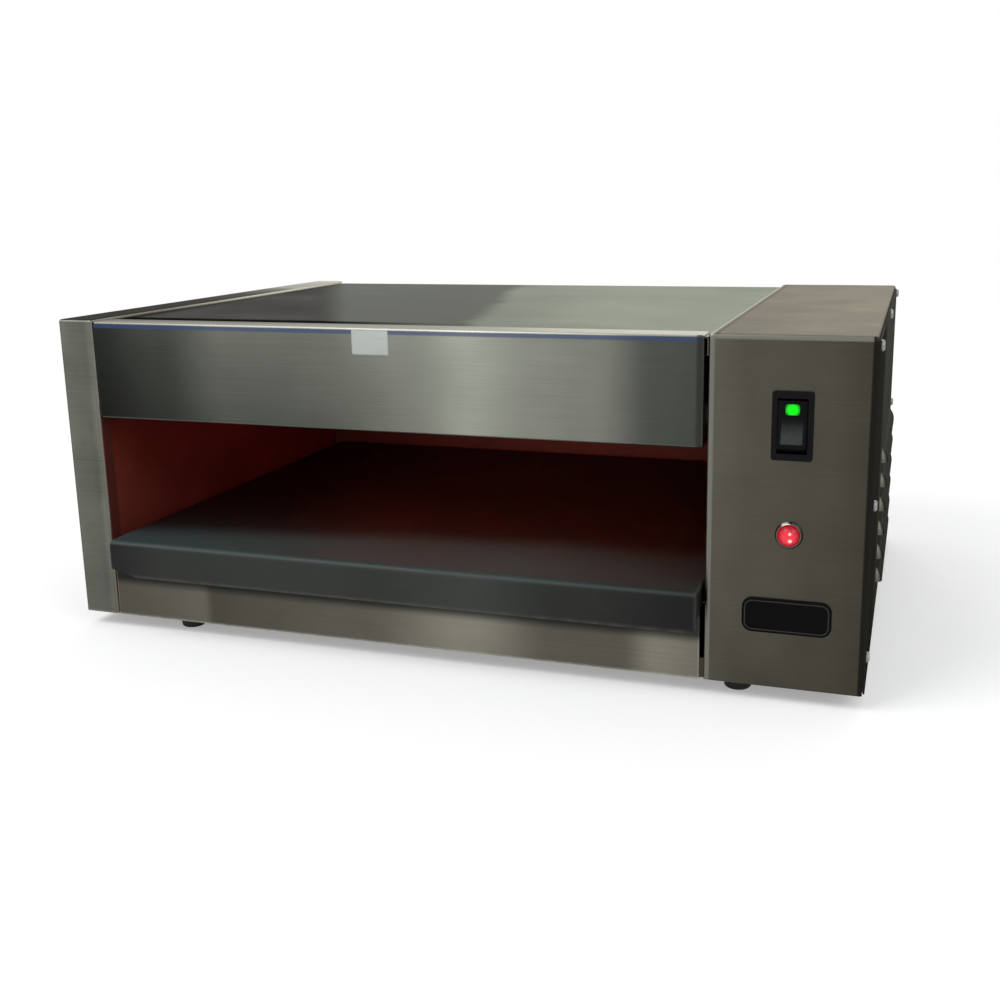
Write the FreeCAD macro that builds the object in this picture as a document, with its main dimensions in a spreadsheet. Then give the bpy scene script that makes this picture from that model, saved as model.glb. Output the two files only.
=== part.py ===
import FreeCAD, Part
import math
import operator
import os
from types import SimpleNamespace
import Sketcher

# Quartz finishing cabinet: a counter-top heating cabinet of folded sheet.
# Millimetres, +Z up, X across the width, -Y towards the user.
# The origin is the middle of the whole outline, on the surface that the feet stand on.

os.makedirs("parts", exist_ok=True)
doc = FreeCAD.newDocument("QuartzFinishingCabinet")

# Driving dimensions, each one free to change by itself
driving = {
    # casing
    "cabinetWidth": 650.0,       # over the left end cap and the side cover
    "cabinetDepth": 445.0,       # front face to rear face
    "cabinetHeight": 252.0,      # casing alone, without the feet
    "sheetThick": 1.2,           # casing sheet
    "bendRadius": 2.5,           # outer radius of the casing's bends
    "endCapWidth": 33.0,         # width of the hollow left end cap
    "controlWidth": 113.0,       # width of the control housing with its side cover
    "rimWidth": 12.0,            # return flange round the open side of cap and housing
    "panFlange": 16.0,           # up-turned edge of the base pan
    "fitGap": 0.3,               # clearance between neighbouring sheets
    "endGap": 2.5,               # dark gap between the bay's front panels and the housing
    "wallFlange": 14.0,          # outward flange of the bay's side walls
    "rearSpace": 37.0,           # heated bay's back wall before the rear face
    "backFlange": 12.0,          # rearward flange of the back wall and of the rear panel
    # front of the bay
    "lowerPanelHeight": 54.0,
    "lowerPanelFlange": 30.0,
    "shelfFlange": 15.0,
    "fasciaHeight": 79.5,
    "fasciaDrop": 1.5,           # fascia's top edge below the end cap's top
    "fasciaFlange": 22.0,
    "coverFlange": 13.0,         # down-turned edge of the top cover
    # sliding tray
    "trayThick": 1.5,
    "traySkirt": 16.0,           # side and rear skirt that stands on the shelf
    "trayLip": 30.0,             # deep front lip
    "trayReach": 19.5,           # lip in front of the casing's front face
    "trayBend": 6.0,             # large round bend over the lip
    "trayLeftGap": 11.0,         # the lip ends at the bay's left edge, seen past the front
    "trayRightGap": 2.0,
    "trayBackGap": 8.0,
    "leftCornerRun": 26.0,       # lower corners of the lip, cut off at a slant
    "leftCornerRise": 6.5,
    "rightCornerRun": 4.0,
    "rightCornerRise": 3.0,
    # heaters
    "tubeCount": 4,
    "tubeRadius": 6.0,
    "tubeWall": 1.0,
    "coilRadius": 4.2,
    "coilInset": 8.0,            # bare lead rod between ceramic and coil
    "studRadius": 2.0,
    "studReach": 9.0,            # stud beyond the ceramic
    "studNutWidth": 7.0,         # across flats
    "studNutHigh": 3.2,
    "tubeRise": 18.0,            # tube axis above the fascia's lower edge
    "ceramicRadius": 9.0,
    "ceramicShoulder": 12.0,     # radius of the shoulder inside the bay
    "ceramicShoulderLength": 6.0,
    "ceramicTail": 14.0,         # barrel outside the bay wall
    "ceramicSocket": 10.0,       # depth of the tube's socket
    "ceramicChamfer": 1.0,
    "troughRise": 18.0,
    "troughFlat": 2.5,
    "reflectorThick": 0.8,
    "reflectorRise": 15.0,       # reflector's edges above the fascia's lower edge
    "reflectorLip": 15.0,
    "reflectorUpturn": 12.0,
    "reflectorFrontGap": 23.0,   # front face to the reflector
    "reflectorBackGap": 15.0,    # reflector to the bay's back wall
    "insulationThick": 24.0,
    "insulationInset": 4.0,
    "guardWire": 3.0,            # wire diameter
    "guardFrameWire": 4.0,
    "guardPitch": 42.0,
    "guardCorner": 14.0,
    "guardWeld": 0.45,           # how far crossing wires are pressed into each other
    "ledgeWidth": 14.0,
    "strapWidth": 12.0,
    "strapThick": 1.0,
    # controls
    "controlOffset": 1.5,        # controls right of the housing's middle
    "switchHeight": 190.0,       # centres above the casing's lower edge
    "bezelWidth": 28.0,
    "bezelHeight": 48.0,
    "bezelThick": 2.0,
    "bezelCorner": 2.0,
    "bezelRound": 0.7,
    "rockerWidth": 19.4,
    "rockerEnd": 18.6,           # radius of the rocker's ends about its pivot
    "rockerFace": 6.65,          # valley of the rocker's face in front of its pivot
    "rockerRear": 1.0,           # flat rear of the rocker behind its pivot
    "rockerTilt": 10.0,          # each way from the middle, in degrees
    "rockerClearance": 0.5,
    "trunnionRadius": 1.5,
    "trunnionLength": 1.2,
    "runningFit": 0.05,
    "switchBodyWall": 1.2,
    "switchBodyDepth": 30.0,
    "pivotDepth": 4.0,           # pivot behind the panel's face
    "windowRise": 10.4,          # green window's middle above the rocker's valley
    "windowWidth": 9.6,
    "windowTall": 7.4,
    "windowCorner": 1.8,
    "windowThick": 1.2,
    "windowProud": 0.4,
    "tabThick": 0.8,
    "tabLength": 9.0,
    "tabWidth": 6.3,
    "tabHole": 0.9,              # radius
    "tabSpread": 12.0,
    "tabRise": 20.0,
    "lampHeight": 113.4,
    "lampRadius": 9.5,           # bezel ring
    "lampLens": 7.8,
    "lampDome": 5.0,
    "lampRingHigh": 2.4,
    "lampRingSlope": 0.9,
    "lampBarrel": 6.4,
    "lampDepth": 26.0,
    "lampTail": 6.0,             # thinner end of the lamp's body
    "lampTailRadius": 5.0,
    "lampNutWidth": 18.8,
    "lampNutThick": 3.2,
    "badgeHeight": 53.6,
    "badgeWidth": 62.0,
    "badgeTall": 25.4,
    "badgeThick": 1.5,
    "badgeCorner": 7.4,
    "badgeRound": 0.6,
    # side cover
    "louvreCount": 6,
    "louvrePitch": 20.0,
    "louvreLength": 190.0,
    "louvreHeight": 12.0,
    "louvreReach": 5.0,
    "louvreFirst": 32.0,         # lowest louvre above the casing's lower edge
    "louvreMiddle": 262.0,       # middle of the louvres behind the front face
    "coverInset": 3.0,
    "coverCorner": 2.0,
    "screwInset": 7.0,
    "rearScrewInset": 40.0,
    # feet, fasteners and inlet
    "footHeight": 12.0,
    "footRadius": 11.0,
    "footTaper": 1.2,
    "footInset": 91.0,
    "footSetback": 24.0,
    "footChamfer": 1.0,
    "footRecess": 5.4,           # radius of the hollow for the screw's head
    "footRecessDeep": 6.0,
    "footScrewRadius": 2.5,
    "footScrewHead": 4.7,
    "footScrewHeadHigh": 3.0,
    "footScrewGrip": 14.0,
    "footNutWidth": 8.0,
    "footNutHigh": 4.0,
    "screwRadius": 2.0,
    "screwHead": 3.8,
    "screwHeadHigh": 2.2,
    "screwReach": 8.0,
    "glandHeight": 45.0,
    "glandBore": 4.6,
    "glandThread": 10.0,
    "glandHex": 24.0,
    "glandFlange": 6.0,
    "glandDome": 14.0,
    "glandDomeRadius": 11.0,
    "glandNose": 5.0,            # length of the dome nut's tapered nose
    "glandNoseRadius": 7.0,
    "glandInside": 10.0,
    "lockNutThick": 5.0,
    "lockNutWidth": 26.0,
    # wiring behind the side cover
    "wayPitch": 12.0,
    "wayCount": 4,
    "blockDepth": 22.0,
    "blockHeight": 17.0,
    "blockStep": 10.0,           # height of the screw steps
    "blockRidge": 8.0,
    "blockSetback": 150.0,       # block's front face before the casing's rear face
    "blockScrewInset": 3.5,
    "blockScrewRadius": 1.4,
    "blockScrewHead": 2.8,
    "blockScrewHeadHigh": 1.6,
    "blockScrewReach": 1.0,
    "earthInset": 39.0,
    "earthSetback": 60.0,
    "earthLength": 16.0,
    "earthNutWidth": 8.0,
    "earthNutHigh": 3.2,
    "leadRadius": 1.6,
    "leadBend": 9.0,
    "leadSag": 30.0,             # lowest lead's level over the shelf
    "leadStep": 9.0,             # each next lead above the last
    "leadBow": 38.0,             # drop of the leads behind the block
    "lugLength": 9.0,
}

sheet = doc.addObject("Spreadsheet::Sheet", "Sizes")
for row, (alias, number) in enumerate(driving.items(), start=1):
    sheet.set(f"A{row}", alias)
    sheet.set(f"B{row}", str(number))
    sheet.setAlias(f"B{row}", alias)
doc.recompute()


class Size:
    # A length with its formula in the sheet and its value now
    def __init__(self, formula, value):
        self.formula = formula
        self.value = value

    def __add__(self, other):
        return combine(self, "+", other)

    def __radd__(self, other):
        return combine(other, "+", self)

    def __sub__(self, other):
        return combine(self, "-", other)

    def __rsub__(self, other):
        return combine(other, "-", self)

    def __mul__(self, other):
        return combine(self, "*", other)

    def __rmul__(self, other):
        return combine(other, "*", self)

    def __truediv__(self, other):
        return combine(self, "/", other)

    def __neg__(self):
        return combine(0, "-", self)


arithmetic = {"+": operator.add, "-": operator.sub, "*": operator.mul, "/": operator.truediv}


def asSize(length):
    if isinstance(length, Size):
        return length
    return Size(f"({length:.9g})", float(length))


def combine(left, sign, right):
    left = asSize(left)
    right = asSize(right)
    formula = f"({left.formula} {sign} {right.formula})"
    return Size(formula, arithmetic[sign](left.value, right.value))


def numbers(*lengths):
    return [asSize(length).value for length in lengths]


size = SimpleNamespace(**{
    alias: Size(f"Sizes.{alias}", float(sheet.get(alias))) for alias in driving
})

# Main places, all worked out from the driving dimensions
thick = size.sheetThick
sheetCut = thick * 3                                    # through one sheet, from one thickness before it
windowCut = thick + size.bendRadius + size.fitGap       # the same, past the inside of the bends
glandReach = size.glandFlange + size.glandDome
left = -(size.cabinetWidth + size.louvreReach) / 2
right = left + size.cabinetWidth
front = size.trayReach - (size.cabinetDepth + size.trayReach + glandReach) / 2
back = front + size.cabinetDepth
floor = size.footHeight
top = floor + size.cabinetHeight
bayLeft = left + size.endCapWidth
bayRight = right - size.controlWidth
wallLeft = bayLeft - thick
wallRight = bayRight + thick
bayWidth = bayRight - bayLeft
wallSpan = wallRight - wallLeft
cavityDepth = size.cabinetDepth - size.rearSpace
backWall = front + cavityDepth
shelfUnder = floor + size.lowerPanelHeight
shelfTop = shelfUnder + thick
coverTop = top - size.fasciaDrop - thick
fasciaLow = top - size.fasciaDrop - size.fasciaHeight
hoodSill = fasciaLow + thick
tubeAxis = fasciaLow + size.tubeRise
reflectorStart = front + size.reflectorFrontGap + size.reflectorLip
reflectorEnd = backWall - size.reflectorBackGap - size.reflectorLip
tubePitch = (reflectorEnd - reflectorStart) / size.tubeCount
firstTube = reflectorStart + tubePitch / 2
controlMiddle = (bayRight + right) / 2 + size.controlOffset
switchLevel = floor + size.switchHeight
lampLevel = floor + size.lampHeight
notchTop = size.panFlange + size.fitGap
earthX = right - size.earthInset
earthY = back - size.earthSetback


alongX = FreeCAD.Vector(1, 0, 0)
alongY = FreeCAD.Vector(0, 1, 0)
alongZ = FreeCAD.Vector(0, 0, 1)


def spot(across, up):
    # A point in a sketch
    return FreeCAD.Vector(across, up, 0)


def place(item, x, y, z):
    for axis, length in zip("xyz", (x, y, z)):
        item.setExpression(f"Placement.Base.{axis}", asSize(length).formula)


def newBody(label, x=0, y=0, z=0):
    body = doc.addObject("PartDesign::Body", label)
    body.Label = label
    place(body, x, y, z)
    return body


def originFeature(body, role):
    return [item for item in body.Origin.OriginFeatures if item.Role == role][0]


def newSketch(body, plane, height=0, lean=0):
    # height is measured along +X, +Y or +Z, whichever the plane faces
    # lean turns the sketch about its own X, in degrees
    sketch = body.newObject("Sketcher::SketchObject", f"{body.Name}_outline")
    sketch.AttachmentSupport = [(originFeature(body, plane), "")]
    sketch.MapMode = "FlatFace"
    sketch.AttachmentOffset = FreeCAD.Placement(FreeCAD.Vector(), FreeCAD.Rotation(alongX, lean))
    along = -asSize(height) if plane == "XZ_Plane" else asSize(height)
    sketch.setExpression("AttachmentOffset.Base.z", along.formula)
    return sketch


def constrain(sketch, name, kind, *geometry, to):
    index = sketch.addConstraint(Sketcher.Constraint(kind, *geometry, asSize(to).value))
    sketch.renameConstraint(index, name)
    sketch.setExpression(f"Constraints.{name}", asSize(to).formula)


def pin(sketch, name, element, end, across, up):
    constrain(sketch, name + "across", "DistanceX", element, end, to=across)
    constrain(sketch, name + "up", "DistanceY", element, end, to=up)


def joinEnds(sketch, joins):
    for join in joins:
        sketch.addConstraint(Sketcher.Constraint("Coincident", *join))


def drawOutline(sketch, corners):
    # Straight runs through the corners; a third value rounds a corner with that radius
    count = len(corners)
    points = [FreeCAD.Vector(*numbers(*corner[:2]), 0) for corner in corners]
    entries, leaves, rounds = [], [], []
    for index, corner in enumerate(corners):
        point = points[index]
        if len(corner) == 2:
            entries.append(point)
            leaves.append(point)
            rounds.append(None)
            continue
        radius = asSize(corner[2]).value
        before = (points[index - 1] - point).normalize()
        after = (points[(index + 1) % count] - point).normalize()
        half = before.getAngle(after) / 2
        entries.append(point + before * (radius / math.tan(half)))
        leaves.append(point + after * (radius / math.tan(half)))
        centre = point + (before + after).normalize() * (radius / math.sin(half))
        rounds.append((centre, radius, before.cross(after).z < 0))
    first = sketch.GeometryCount
    for index in range(count):
        run = Part.LineSegment(leaves[index], entries[(index + 1) % count])
        sketch.addGeometry(run, False)
    for index, corner in enumerate(corners):
        arriving = first + (index - 1) % count
        leaving = first + index
        mark = f"corner{first}n{index}"
        if rounds[index] is None:
            sketch.addConstraint(Sketcher.Constraint("Coincident", arriving, 2, leaving, 1))
            pin(sketch, mark, leaving, 1, corner[0], corner[1])
            continue
        centre, radius, leftTurn = rounds[index]
        begin = entries[index] if leftTurn else leaves[index]
        finish = leaves[index] if leftTurn else entries[index]
        circle = Part.Circle(centre, alongZ, radius)
        arc = Part.ArcOfCircle(circle, circle.parameter(begin), circle.parameter(finish))
        element = sketch.addGeometry(arc, False)
        sharp = sketch.addGeometry(Part.Point(points[index]), True)
        pin(sketch, mark, sharp, 1, corner[0], corner[1])
        arcStart, arcEnd = (1, 2) if leftTurn else (2, 1)
        sketch.addConstraint(Sketcher.Constraint("PointOnObject", sharp, 1, arriving))
        sketch.addConstraint(Sketcher.Constraint("PointOnObject", sharp, 1, leaving))
        sketch.addConstraint(Sketcher.Constraint("Tangent", arriving, 2, element, arcStart))
        sketch.addConstraint(Sketcher.Constraint("Tangent", element, arcEnd, leaving, 1))
        constrain(sketch, mark + "radius", "Radius", element, to=corner[2])


def drawRectangle(sketch, across, up, corner=None):
    lowX, highX = across
    lowY, highY = up
    corners = [(lowX, lowY), (highX, lowY), (highX, highY), (lowX, highY)]
    if corner is not None:
        corners = [(x, y, corner) for x, y in corners]
    drawOutline(sketch, corners)


def drawCircle(sketch, across, up, radius):
    values = numbers(across, up, radius)
    circle = Part.Circle(spot(values[0], values[1]), alongZ, values[2])
    element = sketch.addGeometry(circle, False)
    mark = f"circle{element}"
    pin(sketch, mark, element, 3, across, up)
    constrain(sketch, mark + "radius", "Radius", element, to=radius)


def addPad(body, sketch, length):
    # Pads always grow along +X, +Y or +Z
    pad = body.newObject("PartDesign::Pad", f"{body.Name}_pad")
    pad.Profile = sketch
    pad.setExpression("Length", asSize(length).formula)
    pad.Reversed = originFeature(body, "XZ_Plane") in [item for item, _ in sketch.AttachmentSupport]
    body.Tip = pad
    return pad


def addPocket(body, sketch, length):
    # Pockets also cut along +X, +Y or +Z from their sketch
    before = volumeOf(body)
    pocket = body.newObject("PartDesign::Pocket", f"{body.Name}_pocket")
    pocket.Profile = sketch
    pocket.setExpression("Length", asSize(length).formula)
    pocket.Reversed = originFeature(body, "XZ_Plane") not in [item for item, _ in sketch.AttachmentSupport]
    body.Tip = pocket
    mustShrink(body, before)
    return pocket


def volumeOf(body):
    doc.recompute()
    return body.Shape.Volume


def mustShrink(body, before):
    if volumeOf(body) >= before - 1e-3:
        raise ValueError(f"a cut on {body.Label} removes nothing")


def addTurn(body, sketch, angle=360, cut=False):
    # Turned about the sketch's upright axis
    kind = "Groove" if cut else "Revolution"
    turn = body.newObject(f"PartDesign::{kind}", f"{body.Name}_{kind}")
    turn.Profile = sketch
    turn.ReferenceAxis = (sketch, ["V_Axis"])
    turn.Angle = abs(angle)
    turn.Reversed = angle < 0
    body.Tip = turn
    return turn


def addPattern(body, features, axis, pitch, count):
    pattern = body.newObject("PartDesign::LinearPattern", f"{body.Name}_row")
    pattern.Originals = features
    pattern.Direction = (originFeature(body, axis), [""])
    pattern.setExpression("Length", (asSize(pitch) * (asSize(count) - 1)).formula)
    pattern.setExpression("Occurrences", asSize(count).formula)
    body.Tip = pattern
    return pattern


def pick(shapes, kind, wanted):
    return [f"{kind}{index}" for index, shape in enumerate(shapes, start=1) if wanted(shape)]


def onSide(shape, outer, side):
    # Whether a face or an edge lies wholly in one side plane of the outer block
    box = shape.BoundBox
    limits = {
        "left": (box.XMin, box.XMax, outer.XMin), "right": (box.XMin, box.XMax, outer.XMax),
        "front": (box.YMin, box.YMax, outer.YMin), "back": (box.YMin, box.YMax, outer.YMax),
        "bottom": (box.ZMin, box.ZMax, outer.ZMin), "top": (box.ZMin, box.ZMax, outer.ZMax),
    }
    low, high, plane = limits[side]
    return abs(low - plane) < 1e-4 and abs(high - plane) < 1e-4


def foldedBox(label, corner, span, openSides, wall=thick, bend=size.bendRadius, softEdges=()):
    # One blank folded to a box that is open on some sides; softEdges are (side, side, radius)
    body = newBody(label, *corner)
    sketch = newSketch(body, "XY_Plane")
    drawRectangle(sketch, (0, span[0]), (0, span[1]))
    block = addPad(body, sketch, span[2])
    doc.recompute()
    outer = block.Shape.BoundBox
    base = block
    special = []
    for sideA, sideB, radius in softEdges:
        names = pick(base.Shape.Edges, "Edge",
                     lambda edge: onSide(edge, outer, sideA) and onSide(edge, outer, sideB))
        base = addFillet(body, base, names, radius)
        special.append((sideA, sideB))
    names = pick(base.Shape.Edges, "Edge", lambda edge: isFold(edge, outer, openSides, special))
    base = addFillet(body, base, names, bend)
    faces = pick(base.Shape.Faces, "Face",
                 lambda face: any(onSide(face, outer, side) for side in openSides))
    shell = body.newObject("PartDesign::Thickness", f"{body.Name}_shell")
    shell.Base = (base, faces)
    shell.setExpression("Value", asSize(wall).formula)
    shell.Reversed = True
    body.Tip = shell
    doc.recompute()
    return body


def isFold(edge, outer, openSides, special):
    if any(onSide(edge, outer, side) for side in openSides):
        return False
    sides = ("left", "right", "front", "back", "bottom", "top")
    return sum(onSide(edge, outer, side) for side in sides) == 2


def addFillet(body, base, names, radius):
    fillet = body.newObject("PartDesign::Fillet", f"{body.Name}_bend")
    fillet.Base = (base, names)
    fillet.setExpression("Radius", asSize(radius).formula)
    body.Tip = fillet
    doc.recompute()
    return fillet


def cutRectangle(body, plane, height, depth, across, up, corner=None):
    sketch = newSketch(body, plane, height)
    drawRectangle(sketch, across, up, corner)
    return addPocket(body, sketch, depth)


def cutOutline(body, plane, height, depth, corners):
    sketch = newSketch(body, plane, height)
    drawOutline(sketch, corners)
    return addPocket(body, sketch, depth)


def cutHoles(body, plane, height, depth, places, radius):
    sketch = newSketch(body, plane, height)
    for across, up in places:
        drawCircle(sketch, across, up, radius)
    return addPocket(body, sketch, depth)


def turned(label, corner, profile, towards="z"):
    # A piece turned about its own axis: profile holds (radius, along) corners
    body = newBody(label, *corner)
    sketch = newSketch(body, "XZ_Plane")
    drawOutline(sketch, profile)
    addTurn(body, sketch)
    turns = {
        "z": FreeCAD.Rotation(),
        "x": FreeCAD.Rotation(alongY, 90),
        "-x": FreeCAD.Rotation(alongY, -90),
        "y": FreeCAD.Rotation(alongX, -90),
        "-y": FreeCAD.Rotation(alongX, 90),
    }
    body.Placement.Rotation = turns[towards]
    return body


def barRing(inner, outer, low, high):
    return [(inner, low), (outer, low), (outer, high), (inner, high)]


def groupOf(label, shapes):
    # Identical loose pieces kept as separate solids under one name
    item = doc.addObject("Part::Feature", label)
    item.Label = label
    item.Shape = Part.makeCompound(shapes)
    return item


# Casing
def sideWindow(rim, depth, height):
    # Opening in a folded box's side: a rim round it, and a notch below that clears the base pan
    below = -thick
    return [
        (thick, below), (depth - thick, below), (depth - thick, notchTop),
        (depth - rim, notchTop), (depth - rim, height - rim),
        (rim, height - rim), (rim, notchTop), (thick, notchTop),
    ]


def makeEndCap():
    body = foldedBox("left_end_cap", (left, front, floor),
                     (size.endCapWidth, size.cabinetDepth, size.cabinetHeight), ("bottom",))
    cutOutline(body, "YZ_Plane", size.endCapWidth + thick - windowCut, windowCut,
               sideWindow(size.rimWidth, size.cabinetDepth, size.cabinetHeight))


housingWidth = size.controlWidth - thick
controlAcross = controlMiddle - bayRight
switchPocketHalf = size.rockerEnd + size.rockerClearance
switchPocketWide = size.rockerWidth / 2 + size.rockerClearance
switchBodyHalf = switchPocketHalf + size.switchBodyWall
switchBodyWide = switchPocketWide + size.switchBodyWall


def coverScrewPlaces():
    # Side cover's screws, measured from the front face and the casing's lower edge
    low = size.panFlange + size.screwInset + size.coverInset
    high = size.cabinetHeight - size.screwInset
    near = size.coverInset + size.screwInset
    far = size.cabinetDepth - near
    middle = size.cabinetDepth / 2
    return [(near, low), (far, low), (near, high), (middle, high), (far, high), (near, (low + high) / 2),
            (far, (low + high) / 2)]


def makeControlHousing():
    body = foldedBox("control_housing", (bayRight, front, floor),
                     (housingWidth, size.cabinetDepth, size.cabinetHeight), ("bottom",))
    cutOutline(body, "YZ_Plane", -thick, windowCut,
               sideWindow(size.rimWidth, size.cabinetDepth, size.cabinetHeight))
    cutOutline(body, "YZ_Plane", housingWidth + thick - windowCut, windowCut,
               sideWindow(size.rimWidth + size.coverInset, size.cabinetDepth, size.cabinetHeight))
    gap = size.fitGap / 2
    cutRectangle(body, "XZ_Plane", -thick, sheetCut,
                 (controlAcross - switchBodyWide - gap, controlAcross + switchBodyWide + gap),
                 (size.switchHeight - switchBodyHalf - gap, size.switchHeight + switchBodyHalf + gap))
    cutHoles(body, "XZ_Plane", -thick, sheetCut, [(controlAcross, size.lampHeight)],
             size.lampBarrel + gap)
    cutHoles(body, "XZ_Plane", size.cabinetDepth - thick * 2, sheetCut,
             [(controlAcross, size.glandHeight)], size.glandThread + gap)
    cutHoles(body, "YZ_Plane", housingWidth - thick * 2, sheetCut, coverScrewPlaces(),
             size.screwRadius + gap)


def makeBasePan():
    depth = size.cabinetDepth - thick * 3
    width = size.cabinetWidth - thick * 2
    body = foldedBox("base_pan", (left + thick, front + thick, floor),
                     (width, depth, size.panFlange), ("top",))
    cutHoles(body, "XY_Plane", -thick, sheetCut,
             [(x - left - thick, y - front - thick) for x, y in footPlaces()],
             size.footScrewRadius + size.fitGap / 2)
    cutHoles(body, "XY_Plane", -thick, sheetCut, [(earthX - left - thick, earthY - front - thick)],
             size.screwRadius + size.fitGap / 2)
    cutHoles(body, "XZ_Plane", depth - thick * 2, sheetCut,
             [(bayLeft + across - left - thick, up) for across, up in rearScrewPlaces()[3:]],
             size.screwRadius + size.fitGap / 2)


def footPlaces():
    near = front + size.footSetback
    far = back - size.footSetback
    lowX = left + size.footInset
    highX = right - size.footInset
    return [(lowX, near), (highX, near), (lowX, far), (highX, far)]


def makeRearPanel():
    body = foldedBox("rear_panel", (bayLeft, back - thick - size.backFlange, floor),
                     (bayWidth, size.backFlange, coverTop - thick - floor), ("front", "bottom"))
    # Side flanges stop above the base pan's edge and below the top cover's
    cutRectangle(body, "YZ_Plane", -thick, bayWidth + thick * 2, (-thick, size.backFlange - thick),
                 (-thick, notchTop))
    high = coverTop - thick - floor
    notch = size.bendRadius + size.fitGap
    for across in ((-thick, notch), (bayWidth - notch, bayWidth + thick)):
        cutRectangle(body, "XZ_Plane", -thick, size.backFlange + thick * 2, across,
                     (high - size.coverFlange - size.fitGap, high + thick))
    cutHoles(body, "XZ_Plane", size.backFlange - thick * 2, sheetCut, rearScrewPlaces(),
             size.screwRadius + size.fitGap / 2)


def rearScrewPlaces():
    # Three screws through the top cover's rear flange, three through the base pan's
    high = coverTop - floor - size.coverFlange / 2 - thick
    low = size.panFlange / 2 + thick
    spread = [size.rearScrewInset, bayWidth / 2, bayWidth - size.rearScrewInset]
    return [(across, high) for across in spread] + [(across, low) for across in spread]


def makeTopCover():
    start = thick + size.fitGap
    body = foldedBox("top_cover", (bayLeft, front + start, coverTop - size.coverFlange),
                     (bayWidth, size.cabinetDepth - start, size.coverFlange), ("bottom", "front"))
    drop = coverTop - size.coverFlange - floor
    holes = [(across, up - drop) for across, up in rearScrewPlaces()[:3]]
    cutHoles(body, "XZ_Plane", size.cabinetDepth - start - thick * 2, sheetCut, holes,
             size.screwRadius + size.fitGap / 2)


def tubePlaces():
    return [firstTube + tubePitch * index for index in range(int(size.tubeCount.value))]


def makeInnerWall(label, x, openSide):
    start = thick * 2 + size.fitGap
    depth = size.cabinetDepth - thick * 5 - size.fitGap * 2
    body = foldedBox(label, (x, front + start, floor + thick),
                     (size.wallFlange, depth, size.cabinetHeight - thick * 2), (openSide,))
    web = size.wallFlange - thick * 2 if openSide == "left" else -thick
    spots = [(y - front - start, tubeAxis - floor - thick) for y in tubePlaces()]
    cutHoles(body, "YZ_Plane", web, sheetCut, spots, size.ceramicRadius + size.fitGap)


def makeLowerPanel():
    body = foldedBox("lower_front_panel", (bayLeft, front, floor),
                     (bayWidth - size.endGap, size.lowerPanelFlange, size.lowerPanelHeight),
                     ("back", "bottom"))
    cutRectangle(body, "YZ_Plane", -thick, bayWidth, (thick, size.lowerPanelFlange + thick),
                 (-thick, notchTop))


def makeShelf():
    start = size.rimWidth + size.fitGap
    depth = cavityDepth + size.backFlange - start
    foldedBox("deck_shelf", (wallLeft, front + start, shelfTop - size.shelfFlange),
              (wallSpan, depth, size.shelfFlange), ("bottom", "front", "back"))


def makeBackWall():
    foldedBox("cavity_back_wall", (wallLeft, backWall, shelfTop),
              (wallSpan, size.backFlange, coverTop - size.coverFlange - size.fitGap - shelfTop),
              ("back",))


def makeFascia():
    body = foldedBox("front_fascia", (bayLeft, front, fasciaLow),
                     (bayWidth - size.endGap, size.fasciaFlange, size.fasciaHeight), ("back",))
    under = size.fasciaHeight - thick
    cutRectangle(body, "YZ_Plane", -thick, bayWidth, (thick, size.fasciaFlange + thick),
                 (under - size.coverFlange - size.fitGap, under))


# Sliding tray
trayUnder = shelfTop + size.fitGap
trayWidth = bayWidth - size.trayLeftGap - size.trayRightGap
trayDepth = size.trayReach + cavityDepth - size.trayBackGap
trayLow = trayUnder + size.traySkirt - size.trayLip


def makeTray():
    body = foldedBox("tray", (bayLeft + size.trayLeftGap, front - size.trayReach, trayLow),
                     (trayWidth, trayDepth, size.trayLip), ("bottom",), wall=size.trayThick,
                     softEdges=[("top", "front", size.trayBend)])
    gauge = size.trayThick
    cutRectangle(body, "YZ_Plane", -gauge, trayWidth + gauge * 2, (gauge, trayDepth + gauge),
                 (-gauge, size.trayLip - size.traySkirt))
    run = size.leftCornerRun
    rise = size.leftCornerRise
    cutOutline(body, "XZ_Plane", -gauge, gauge * 3,
               [(-gauge, -gauge), (run, -gauge), (run, 0), (0, rise), (-gauge, rise)])
    run = size.rightCornerRun
    rise = size.rightCornerRise
    cutOutline(body, "XZ_Plane", -gauge, gauge * 3,
               [(trayWidth + gauge, -gauge), (trayWidth + gauge, rise), (trayWidth, rise),
                (trayWidth - run, 0), (trayWidth - run, -gauge)])


# Heaters in the hood
socketEnd = size.ceramicSocket - size.ceramicShoulderLength
tubeLength = wallSpan + socketEnd * 2 - size.fitGap * 2
reflectorLow = fasciaLow + size.reflectorRise


def makeReflector():
    # One scalloped trough over each tube, then an upturned lip along the front and the rear
    half = tubePitch / 2
    chord = half - size.troughFlat
    rise = size.troughRise
    gauge = size.reflectorThick
    radius = (chord * chord + rise * rise) / (rise * 2)
    body = newBody("reflector", wallLeft, firstTube, reflectorLow)
    sketch = newSketch(body, "YZ_Plane")
    drawTrough(sketch, half, chord, rise, gauge, radius)
    trough = addPad(body, sketch, wallSpan)
    doc.recompute()
    addPattern(body, [trough], "Y_Axis", tubePitch, size.tubeCount)
    doc.recompute()
    lip = size.reflectorLip
    up = size.reflectorUpturn
    near = -half
    far = half + tubePitch * (size.tubeCount - 1)
    for edge, way in ((near, -1), (far, 1)):
        sketch = newSketch(body, "YZ_Plane")
        drawOutline(sketch, [
            (edge, 0), (edge + lip * way, 0), (edge + lip * way, up),
            (edge + (lip - gauge) * way, up), (edge + (lip - gauge) * way, gauge), (edge, gauge),
        ])
        addPad(body, sketch, wallSpan)


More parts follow.
